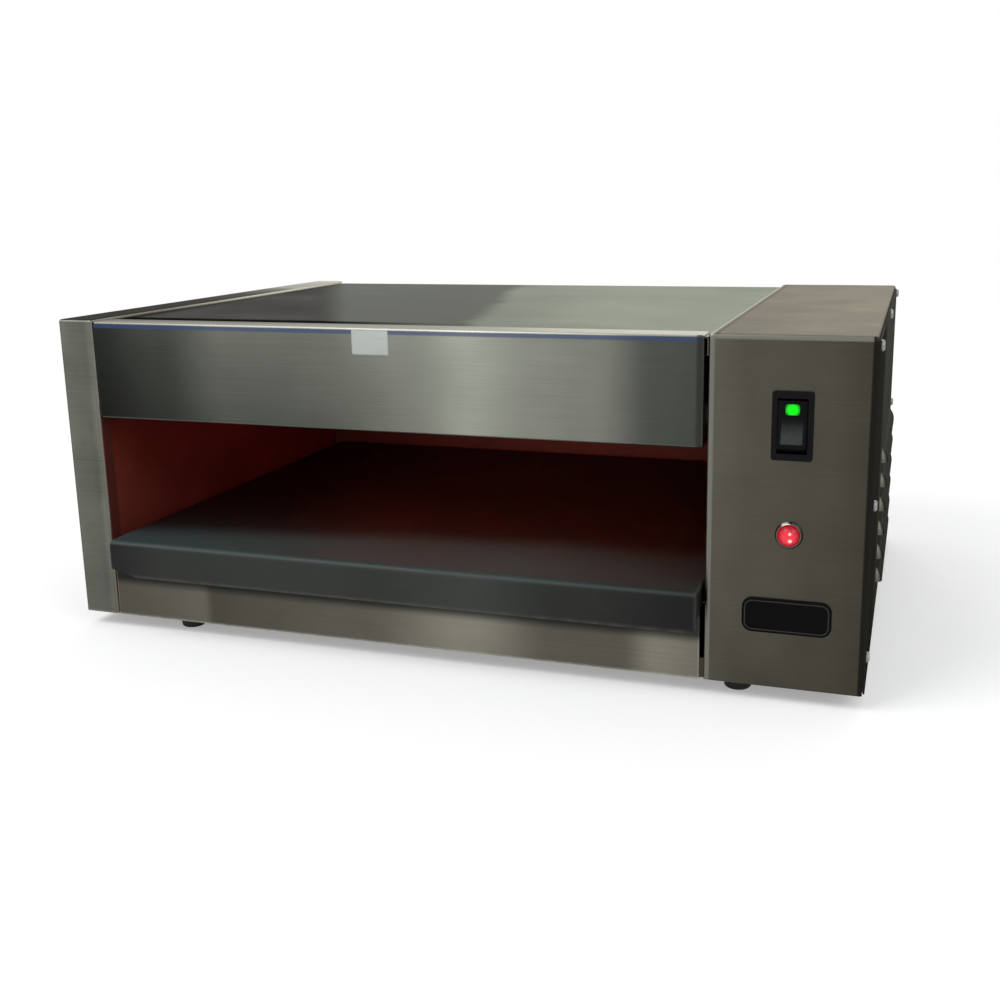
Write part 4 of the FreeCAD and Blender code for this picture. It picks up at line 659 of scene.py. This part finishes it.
finishes["tray"] = trayCoating("trayCoating", {
    # near: the painted lit strip behind the lip; far: the top in painted shadow; rightShade: painted shade to
    # the right; lipRun: painted reflection along the lip
    "near": (0.033, 0.052, 0.05), "far": (0.01, 0.009, 0.009),
    "strip": (0.016, 0.062), "stripWider": (0.36, 0.055),      # from the lip; and how it grows along the tray
    "lip": (0.038, 0.0415, 0.0365), "shadeFrom": 0.33, "rightShade": 0.5,
    "lipRun": [(0.0, 0.15), (0.12, 0.6), (0.4, 0.85), (0.49, 0.76), (0.65, 1.0), (0.8, 0.5), (1.0, 0.12)],
    "rubbed": (0.05, 0.052, 0.05), "rub": 0.16, "wearAndSheen": (0.1, 0.1, 0.092), "wear": 0.45,
    "rough": 0.42, "gloss": 0.16})
smallFinishes = {
    "quartz": quartzGlass("fusedQuartz", {
        "tint": (0.75, 0.55, 0.5), "rough": 0.06, "alpha": 0.12, "rimAlpha": 0.45, "bloom": (0.015, 0.06),
        "glow": (1.0, 0.12, 0.04), "endGlow": (0.25, 0.02, 0.01), "strength": 0.4}),
    "heater": glowingWire("glowingCoil", {
        "cold": 0.045, "warm": 0.095, "coldTint": (0.12, 0.09, 0.08), "hotTint": (0.3, 0.08, 0.04),
        "glow": (1.0, 0.1, 0.025), "endGlow": (0.02, 0.0, 0.0), "strength": 5.0}),
    "ceramic": plainMould("steatite", (0.62, 0.55, 0.45), 0.55, 500.0, 0.3, 0.2, 0.1),
    "brass": turnedMetal("brassTerminal", (0.46, 0.3, 0.1), 0.3),
    "zinc": turnedMetal("zincPlate", (0.24, 0.24, 0.225), 0.36),
    "brightWire": turnedMetal("guardWire", (0.3, 0.27, 0.25), 0.3, 0.5),
    "wool": woolBoard("mineralWool", (0.42, 0.38, 0.28)),
    "sleeve": braidSleeve("leadSleeve", (0.62, 0.56, 0.44)),
    "glossBlack": plainMould("switchPlastic", (0.003, 0.0032, 0.004), 0.25, 1500.0, 0.08, 0.2, 0.02, 0.09),
    "satinBlack": plainMould("housingPlastic", (0.018, 0.018, 0.018), 0.45, 1100.0, 0.2, 0.25, 0.2),
    "rubber": plainMould("footRubber", (0.012, 0.012, 0.012), 0.7, 800.0, 0.35, 0.3, 0.25),
    "nylon": plainMould("glandNylon", (0.025, 0.025, 0.026), 0.4, 1300.0, 0.15, 0.2, 0.2),
    "badge": plainMould("badgeBlack", (0.003, 0.003, 0.0034), 0.2, 1800.0, 0.05, 0.15, 0.02, 0.04),
    "keyline": turnedMetal("keylineGrey", (0.035, 0.035, 0.036), 0.3, 0.15, 0.1),
    # A painted glint at the top left of the pilot's bezel
    "chrome": turnedMetal("chromeRing", (0.1, 0.085, 0.08), 0.16, 0.3, 0.08, {
        "at": (0.2649, -0.2245, 0.1345), "size": 0.0042, "tint": (0.85, 0.9, 0.8)}),
    # patch: the colour of the painted reflection under the window
    "rocker": rockerPlastic("rockerPlastic", {
        "dark": (0.0022, 0.0022, 0.003), "patch": (0.044, 0.05, 0.048), "starts": (0.17, 0.21),
        "ends": (0.27, 0.68), "halfWidth": (0.0066, 0.0078), "rough": 0.24, "gloss": 0.07}),
    "green": litPlastic("greenWindow", "rocker_lens", {
        "core": 0.55, "rim": 1.2, "facets": 4.0, "ring": 0.002, "relief": 0.08, "body": (0.0, 0.03, 0.0),
        "shade": (0.004, 0.1, 0.008), "bright": (0.012, 0.97, 0.018), "gloss": 0.05}),
    "red": litPlastic("redLens", "pilot_lens", {
        "core": 0.35, "rim": 1.05, "facets": 8.0, "ring": 0.0045, "relief": 0.14, "body": (0.1, 0.0, 0.0),
        "shade": (0.3, 0.004, 0.008), "bright": (0.82, 0.05, 0.08), "gloss": 0.15,
        "glints": [(0.0012, 0.0024, 0.0013), (0.0014, -0.0026, 0.0018)], "glint": (1.0, 0.75, 0.62)}),
}
wearers = {
    "badge": ["badge_plate"], "glossBlack": ["switch_housing"], "satinBlack": ["pilot_body"],
    "rocker": ["rocker"], "green": ["rocker_lens"], "red": ["pilot_lens"], "chrome": ["pilot_bezel"],
    "nylon": ["cord_gland", "gland_dome_nut", "gland_lock_nut"], "sleeve": ["element_leads"],
    "brass": ["earth_nut", "earth_stud", "switch_terminals"], "brightWire": ["element_guard"],
    "ceramic": ["ceramic_ends_left", "ceramic_ends_right", "terminal_block"], "wool": ["hood_insulation"],
    "zinc": ["terminal_block_screws", "terminal_nuts", "link_straps", "foot_nuts", "foot_screws", "pilot_nut",
             "side_cover_screws", "top_cover_screws", "rear_panel_screws"],
    "rubber": ["foot_front_left", "foot_front_right", "foot_rear_left", "foot_rear_right"],
    "quartz": [f"quartz_tube_{number}" for number in range(1, 5)],
    "heater": [f"heater_coil_{number}" for number in range(1, 5)],
}
for finish, names in wearers.items():
    finishes.update(dict.fromkeys(names, smallFinishes[finish]))
for name, piece in nodes.items():
    if not piece.material_slots:
        piece.data.materials.append(finishes[name])
    for slot in piece.material_slots:
        slot.material = finishes[name]
print("finishes built:", len(bpy.data.materials))


# New pieces

def newObject(name, data):
    thing = bpy.data.objects.new(name, data)
    bpy.context.scene.collection.objects.link(thing)
    return thing


def toMesh(name, form, sharpAngle=35):
    bmesh.ops.remove_doubles(form, verts=form.verts, dist=1e-7)
    bmesh.ops.recalc_face_normals(form, faces=form.faces)
    for face in form.faces:
        face.smooth = True
    for edge in form.edges:
        edge.smooth = edge.calc_face_angle(0.0) < math.radians(sharpAngle)
    mesh = bpy.data.meshes.new(name)
    form.to_mesh(mesh)
    form.free()
    return mesh


def addPiece(name, form, finish):
    piece = newObject(name, toMesh(name, form))
    piece.data.materials.append(finish)
    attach(piece, "cabinet")


def ringOf(form, radius, height, count):
    turns = [2 * math.pi * step / count for step in range(count)]
    return [form.verts.new((radius * math.cos(turn), radius * math.sin(turn), height)) for turn in turns]


def joinRings(form, rings):
    for lower, upper in zip(rings, rings[1:]):
        for step in range(len(lower)):
            after = (step + 1) % len(lower)
            form.faces.new((lower[step], lower[after], upper[after], upper[step]))


def threadOf(radius, root, start, pitch, turns):
    # Radius and height down and up each turn of a thread, from its start
    points = []
    for turn in range(turns):
        points += [(radius * root, start + pitch * (turn + 0.5)), (radius, start + pitch * (turn + 1))]
    return points


def crossPoints(form, arm, half, height):
    corners = [(arm, -half), (arm, half), (half, half)]
    for step in range(9):
        x, y = corners[step]
        corners.append((-y, x))     # the same three, a quarter turn on
    return [form.verts.new((x, y, height)) for x, y in corners]


# Shares of a pan head's radius and height, of its recess's mouth at the recess's sole, and of the shank
panHead = {
    "crown": [(1.0, 0.0), (1.0, 0.35), (0.96, 0.62), (0.84, 0.86), (0.66, 1.0)],
    "arm": 0.5, "half": 0.11, "soleArm": 0.55, "soleHalf": 0.8, "soleUp": 0.3, "root": 0.84, "tip": 0.6,
}


def crossScrew(name, values):
    # Pan head with a tapered cross recess, and a shank with cut threads under it
    head, high, shank, reach = values["head"], values["high"], values["shank"], values["reach"]
    count, pitch = values["segments"], values["pitch"]
    form = bmesh.new()
    rings = [ringOf(form, head * out, high * up, count) for out, up in panHead["crown"]]
    joinRings(form, rings)
    arm, half = head * panHead["arm"], head * panHead["half"]
    mouth = crossPoints(form, arm, half, high)
    sole = crossPoints(form, arm * panHead["soleArm"], half * panHead["soleHalf"], high * panHead["soleUp"])
    joinRings(form, [mouth, sole])
    form.faces.new(sole)
    around = [form.edges.get((loop[step - 1], loop[step]))
              for loop in (rings[-1], mouth) for step in range(len(loop))]
    bmesh.ops.triangle_fill(form, use_beauty=True, edges=around)
    profile = [(shank, 0.0), *threadOf(shank, panHead["root"], 0.0, -pitch, int(reach / pitch)),
               (shank * panHead["tip"], -reach)]
    coils = [ringOf(form, radius, height, count) for radius, height in profile]
    joinRings(form, [rings[0]] + coils)
    form.faces.new(list(reversed(coils[-1])))
    return toMesh(name, form)


def leadStud(name, values):
    # Cold lead that carries the coil, threaded outside the ceramic; its coil end is at z = 0
    radius, length, pitch = values["radius"], values["length"], values["pitch"]
    start = length - values["thread"]
    turns = int(values["thread"] / pitch)
    profile = [(radius * share, height) for share, height in values["coilEnd"]]
    profile += [(radius, start), *threadOf(radius, values["root"], start, pitch, turns),
                (radius * values["tip"], length)]
    form = bmesh.new()
    rings = [ringOf(form, across, height, values["segments"]) for across, height in profile]
    joinRings(form, rings)
    form.faces.new(list(reversed(rings[0])))
    form.faces.new(rings[-1])
    return toMesh(name, form)


def geometryTree(name, takes):
    # An input is given by its first number, or by its kind
    tree = bpy.data.node_groups.new(name, "GeometryNodeTree")
    for label, value in {"Geometry": "Geometry", **takes, "Finish": "Material"}.items():
        kind = value if isinstance(value, str) else {float: "Float", int: "Int"}[type(value)]
        socket = tree.interface.new_socket(label, in_out="INPUT", socket_type="NodeSocket" + kind)
        if kind != value:
            socket.default_value = value
    tree.interface.new_socket("Geometry", in_out="OUTPUT", socket_type="NodeSocketGeometry")
    return tree, addNode(tree, "NodeGroupInput").outputs


def endTree(tree, take, shape):
    whole = outputOf(tree, "GeometryNodeRealizeInstances", inputs={0: shape})
    dressed = outputOf(tree, "GeometryNodeSetMaterial", inputs={"Geometry": whole, "Material": take["Finish"]})
    addNode(tree, "NodeGroupOutput", inputs={0: dressed})
    return tree


def fasteningTree():
    # One copy of a fixing on every point, its axis along "aim" and turned by "turn"
    tree, take = geometryTree("fastenings", {"Fixing": "Object"})
    fixing = outputOf(tree, "GeometryNodeObjectInfo", inputs={"Object": take["Fixing"]}, output="Geometry")
    aim = outputOf(tree, "GeometryNodeInputNamedAttribute", {"data_type": "FLOAT_VECTOR"}, {"Name": "aim"})
    turn = outputOf(tree, "GeometryNodeInputNamedAttribute", {"data_type": "FLOAT"}, {"Name": "turn"})
    lined = outputOf(tree, "FunctionNodeAlignRotationToVector", {"axis": "Z"}, {"Vector": aim})
    spun = outputOf(tree, "FunctionNodeRotateRotation", {"rotation_space": "LOCAL"},
                    {"Rotation": lined, "Rotate By": joined(0.0, 0.0, turn)})
    copies = outputOf(tree, "GeometryNodeInstanceOnPoints", inputs={
        "Points": take["Geometry"], "Instance": fixing, "Rotation": spun})
    return endTree(tree, take, copies)


def coilTree():
    # A wound wire along X from each point
    tree, take = geometryTree("heaterCoils", {
        "Coil Radius": 0.0038, "Wire Radius": 0.0004, "Turns": 100.0, "Length": 0.5, "Steps": 12,
        "Wire Sides": 6})
    wound = outputOf(tree, "GeometryNodeCurveSpiral", inputs={
        "Resolution": take["Steps"], "Rotations": take["Turns"], "Start Radius": take["Coil Radius"],
        "End Radius": take["Coil Radius"], "Height": take["Length"]})
    section = outputOf(tree, "GeometryNodeCurvePrimitiveCircle", {"mode": "RADIUS"},
                       {"Resolution": take["Wire Sides"], "Radius": take["Wire Radius"]})
    wire = outputOf(tree, "GeometryNodeCurveToMesh", inputs={
        "Curve": wound, "Profile Curve": section, "Fill Caps": True})
    laid = outputOf(tree, "GeometryNodeInstanceOnPoints", inputs={
        "Points": take["Geometry"], "Instance": wire, "Rotation": (0.0, math.pi / 2, 0.0)})
    return endTree(tree, take, laid)


def growPiece(name, tree, places, settings):
    # Points carry the tree; the modifier's result becomes a plain mesh
    spots, aims, turns = zip(*places)
    mesh = bpy.data.meshes.new(name)
    mesh.from_pydata(spots, [], [])
    for point, aim in zip(mesh.attributes.new("aim", "FLOAT_VECTOR", "POINT").data, aims):
        point.vector = aim
    for point, turn in zip(mesh.attributes.new("turn", "FLOAT", "POINT").data, turns):
        point.value = turn
    piece = newObject(name, mesh)
    modifier = piece.modifiers.new(name, "NODES")
    modifier.node_group = tree
    for item in tree.interface.items_tree:
        if item.in_out == "INPUT" and item.name in settings:
            modifier[item.identifier] = settings[item.name]
    shown = piece.evaluated_get(bpy.context.evaluated_depsgraph_get())
    result = bpy.data.meshes.new_from_object(shown)
    piece.modifiers.clear()
    piece.data = result
    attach(piece, "cabinet")
    return piece


heaterBank = {
    "tubes": ("quartz_tube_1", "quartz_tube_2", "quartz_tube_3", "quartz_tube_4"),
    "start": -0.2807, "end": 0.1957, "studEnd": 0.3187,
    "coilRadius": 0.0037, "wireRadius": 0.00042, "pitch": 0.0034, "steps": 12, "wireSides": 6,
    "stud": {"segments": 18, "radius": 0.002, "thread": 0.011, "pitch": 0.0008, "root": 0.86, "tip": 0.7,
             "coilEnd": [(0.5, 0.0), (0.8, 0.0012), (0.8, 0.006), (1.0, 0.007)]},
}


def buildHeaters(values):
    start, end = values["start"], values["end"]
    middles = [sum(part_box(tube), Vector()) / 2 for tube in values["tubes"]]
    starts = [((start, spot.y, spot.z), (1.0, 0.0, 0.0), 0.0) for spot in middles]
    coils = growPiece("heaterCoils", coilTree(), starts, {
        "Coil Radius": values["coilRadius"], "Wire Radius": values["wireRadius"],
        "Turns": (end - start) / values["pitch"], "Length": end - start, "Steps": values["steps"],
        "Wire Sides": values["wireSides"], "Finish": smallFinishes["heater"]})
    stud = dict(values["stud"], length=start + values["studEnd"])
    fixing = newObject("leadStud", leadStud("leadStud", stud))
    places = [((x, spot.y, spot.z), (way, 0.0, 0.0), 0.0)
              for spot in middles for x, way in ((start, -1.0), (end, 1.0))]
    studs = growPiece("heaterStuds", fastenings, places, {
        "Fixing": fixing, "Finish": smallFinishes["brightWire"]})
    bpy.data.objects.remove(fixing)
    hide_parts("heater_coil_1", "heater_coil_2", "heater_coil_3", "heater_coil_4")
    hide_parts("heater_coil_1", "heater_coil_2", "heater_coil_3", "heater_coil_4")


# Places are on the sheet under each head; a turn is the way its recess stands
caseScrews = {
    "steel": {"head": 0.0038, "high": 0.0022, "shank": 0.002, "reach": 0.008, "pitch": 0.0008, "segments": 20},
    "foot": {"head": 0.0047, "high": 0.003, "shank": 0.0025, "reach": 0.014, "pitch": 0.0009, "segments": 20},
    "sideX": 0.3225,
    "side": [(-0.21275, 0.038, 0.4), (0.21225, 0.038, 1.1), (-0.21275, 0.257, 2.0), (-0.00025, 0.257, 0.7),
             (0.21225, 0.257, 1.6), (-0.21275, 0.1475, 0.2), (0.21225, 0.1475, 1.3)],
    "rearX": (-0.2545, -0.0425, 0.1695),     # the same for the upper and the lower row
    "upperY": 0.22225, "upperZ": 0.2536, "upperTurns": (0.3, 1.2, 0.8),
    "lowerY": 0.22105, "lowerZ": 0.0212, "lowerTurns": (1.4, 0.5, 0.9),
    "footZ": 0.006,
    "feet": [(-0.2365, -0.19875, 0.2), (0.2315, -0.19875, 0.9), (-0.2365, 0.19825, 1.3),
             (0.2315, 0.19825, 0.6)],
}


def rearRow(values, row):
    return [((x, values[row + "Y"], values[row + "Z"]), (0.0, 1.0, 0.0), turn)
            for x, turn in zip(values["rearX"], values[row + "Turns"])]


def buildScrews(values):
    steel = newObject("crossScrew", crossScrew("crossScrew", values["steel"]))
    foot = newObject("footScrew", crossScrew("footScrew", values["foot"]))
    sides = [((values["sideX"], y, z), (1.0, 0.0, 0.0), turn) for y, z, turn in values["side"]]
    feet = [((x, y, values["footZ"]), (0.0, 0.0, -1.0), turn) for x, y, turn in values["feet"]]
    for name, node, fixing, places in (
            ("sideCoverScrews", "side_cover_screws", steel, sides),
            ("topCoverScrews", "top_cover_screws", steel, rearRow(values, "upper")),
            ("rearPanelScrews", "rear_panel_screws", steel, rearRow(values, "lower")),
            ("footScrews", "foot_screws", foot, feet)):
        settings = {"Fixing": fixing, "Finish": smallFinishes["zinc"]}
        piece = growPiece(name, fastenings, places, settings)
        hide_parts(node)
    bpy.data.objects.remove(steel)
    bpy.data.objects.remove(foot)


def roundedRing(form, middle, halfWide, halfTall, radius, y, steps=8):
    # Points of an upright rectangle with round corners
    points = []
    for quarter, (sx, sz) in enumerate(((1, 1), (-1, 1), (-1, -1), (1, -1))):
        for step in range(steps + 1):
            turn = math.pi / 2 * (quarter + step / steps)
            points.append(form.verts.new((middle[0] + sx * (halfWide - radius) + radius * math.cos(turn), y,
                                          middle[1] + sz * (halfTall - radius) + radius * math.sin(turn))))
    return points


def buildKeyline(values):
    # Thin raised line just inside the badge's rim
    low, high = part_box("badge_plate")
    middle = ((low[0] + high[0]) / 2, (low[2] + high[2]) / 2)
    wide, tall = ((high[axis] - low[axis]) / 2 - values["inset"] for axis in (0, 2))
    line, bevel = values["line"], values["bevel"]
    form = bmesh.new()
    profile = [(0.0, 0.0), (0.0, 0.6), (bevel, 1.0), (line - bevel, 1.0), (line, 0.6), (line, 0.0)]
    rings = [roundedRing(form, middle, wide - inward, tall - inward, values["corner"] - inward,
                         low[1] - values["rise"] * up) for inward, up in profile]
    joinRings(form, rings + rings[:1])
    addPiece("badgeKeyline", form, smallFinishes["keyline"])


def buildLabel(values):
    # Bare film plate with a turned-down rim, on the fascia
    wide, tall, bevel = values["wide"] / 2, values["tall"] / 2, values["bevel"]
    form = bmesh.new()
    rings = [roundedRing(form, values["middle"], wide - inward, tall - inward, values["corner"] - inward / 2,
                         values["face"] - values["high"] * up)
             for inward, up in ((0.0, 0.0), (0.0, 0.5), (bevel, 1.0))]
    joinRings(form, rings)
    form.faces.new(rings[-1])
    form.faces.new(list(reversed(rings[0])))
    addPiece("labelPlate", form, labelFilm("bareLabel", values))


fastenings = fasteningTree()
buildHeaters(heaterBank)
print("heater coils and leads wound")
buildScrews(caseScrews)
print("screws set")
buildKeyline({"inset": 0.0017, "corner": 0.0057, "line": 0.0008, "rise": 0.00015, "bevel": 0.0001})
buildLabel({"middle": (-0.0454, 0.2514), "wide": 0.0302, "tall": 0.0188, "corner": 0.0012, "face": -0.22275,
            "high": 0.00016, "bevel": 0.0002, "tint": (0.46, 0.5, 0.47)})
print("badge line and bare label set")


# Studio

def seenDirectly(tree):
    # 1 for the camera's own rays and those that mirrors and clear pieces send on
    rays = addNode(tree, "ShaderNodeLightPath").outputs
    camera, glossy, clear = (Signal(rays[f"Is {kind} Ray"]) for kind in ("Camera", "Glossy", "Transmission"))
    return calc("MAXIMUM", camera, calc("MAXIMUM", glossy, clear))


def buildFloor(values):
    # Lit paper that fades to plain white away from the cabinet
    form = bmesh.new()
    bmesh.ops.create_grid(form, x_segments=8, y_segments=8, size=values["reach"])
    floor = newObject("studioFloor", toMesh("studioFloor", form))
    material, tree = newMaterial("paperFloor")
    seen = seenDirectly(tree)
    paper = outputOf(tree, "ShaderNodeBsdfPrincipled", inputs={
        "Base Color": values["tint"], "Roughness": 0.9, "Specular IOR Level": 0.1})
    lift = outputOf(tree, "ShaderNodeEmission", inputs={"Strength": seen * values["lift"]})
    both = outputOf(tree, "ShaderNodeAddShader", inputs={0: paper, 1: lift})
    white = outputOf(tree, "ShaderNodeEmission", inputs={"Strength": 1.0})
    far = between(vectorCalc("LENGTH", spotOf(tree), output="Value"), values["near"], values["far"])
    mixed = outputOf(tree, "ShaderNodeMixShader", inputs={0: seen * far, 1: both, 2: white})
    addNode(tree, "ShaderNodeOutputMaterial", inputs={"Surface": mixed})
    floor.data.materials.append(material)


def buildWorld(values):
    # White behind the cabinet, and a softer light from all round
    world = bpy.data.worlds.new("studioWorld")
    bpy.context.scene.world = world
    world.use_nodes = True
    tree = world.node_tree
    tree.nodes.clear()
    light = outputOf(tree, "ShaderNodeBackground", inputs={
        "Color": values["tint"], "Strength": values["level"]})
    white = outputOf(tree, "ShaderNodeBackground", inputs={"Color": (1.0, 1.0, 1.0), "Strength": 1.0})
    mixed = outputOf(tree, "ShaderNodeMixShader", inputs={0: seenDirectly(tree), 1: light, 2: white})
    addNode(tree, "ShaderNodeOutputWorld", inputs={"Surface": mixed})


def addLamp(name, spot, aim, size, power):
    lamp = bpy.data.lights.new(name, "AREA")
    lamp.shape = "RECTANGLE"
    lamp.size, lamp.size_y = size
    lamp.energy = power
    holder = newObject(name, lamp)
    holder.location = spot
    holder.rotation_euler = (Vector(aim) - Vector(spot)).to_track_quat("-Z", "Y").to_euler()


def buildCamera(values):
    camera = bpy.data.cameras.new("photoView")
    camera.sensor_width = values["sensor"]
    camera.lens = values["lens"]
    camera.shift_x, camera.shift_y = values["shift"]
    camera.clip_start, camera.clip_end = values["clip"]
    holder = newObject("photoView", camera)
    right, up, ahead = (Vector(values[way]) for way in ("right", "up", "ahead"))
    turn = Matrix((right, up, -ahead)).transposed()
    holder.matrix_world = Matrix.Translation(values["spot"]) @ turn.to_4x4()
    bpy.context.scene.camera = holder


buildFloor({"reach": 14.0, "tint": (0.82, 0.82, 0.82), "lift": 0.32, "near": 0.8, "far": 1.6})
buildWorld({"tint": (0.97, 0.98, 1.0), "level": 0.55})
addLamp("softKey", (-1.1, -1.3, 1.9), (0.0, 0.0, 0.1), (1.6, 1.2), 24.0)
addLamp("softFill", (1.6, -0.9, 1.2), (0.0, 0.0, 0.1), (1.2, 1.0), 9.0)
addLamp("softBack", (0.2, 1.8, 1.6), (0.0, 0.0, 0.15), (1.8, 0.8), 10.0)
buildCamera({"spot": (0.3442, -1.01735, 0.3562), "right": (0.94970358, 0.31277206, -0.01538634),
             "up": (-0.05342305, 0.21023635, 0.97618987), "ahead": (-0.30855968, 0.92626903, -0.21637146),
             "sensor": 36.0, "lens": 42.19, "shift": (-0.0295, -0.0434), "clip": (0.02, 60.0)})
bpy.context.scene.view_settings.view_transform = "Standard"
print("studio set")
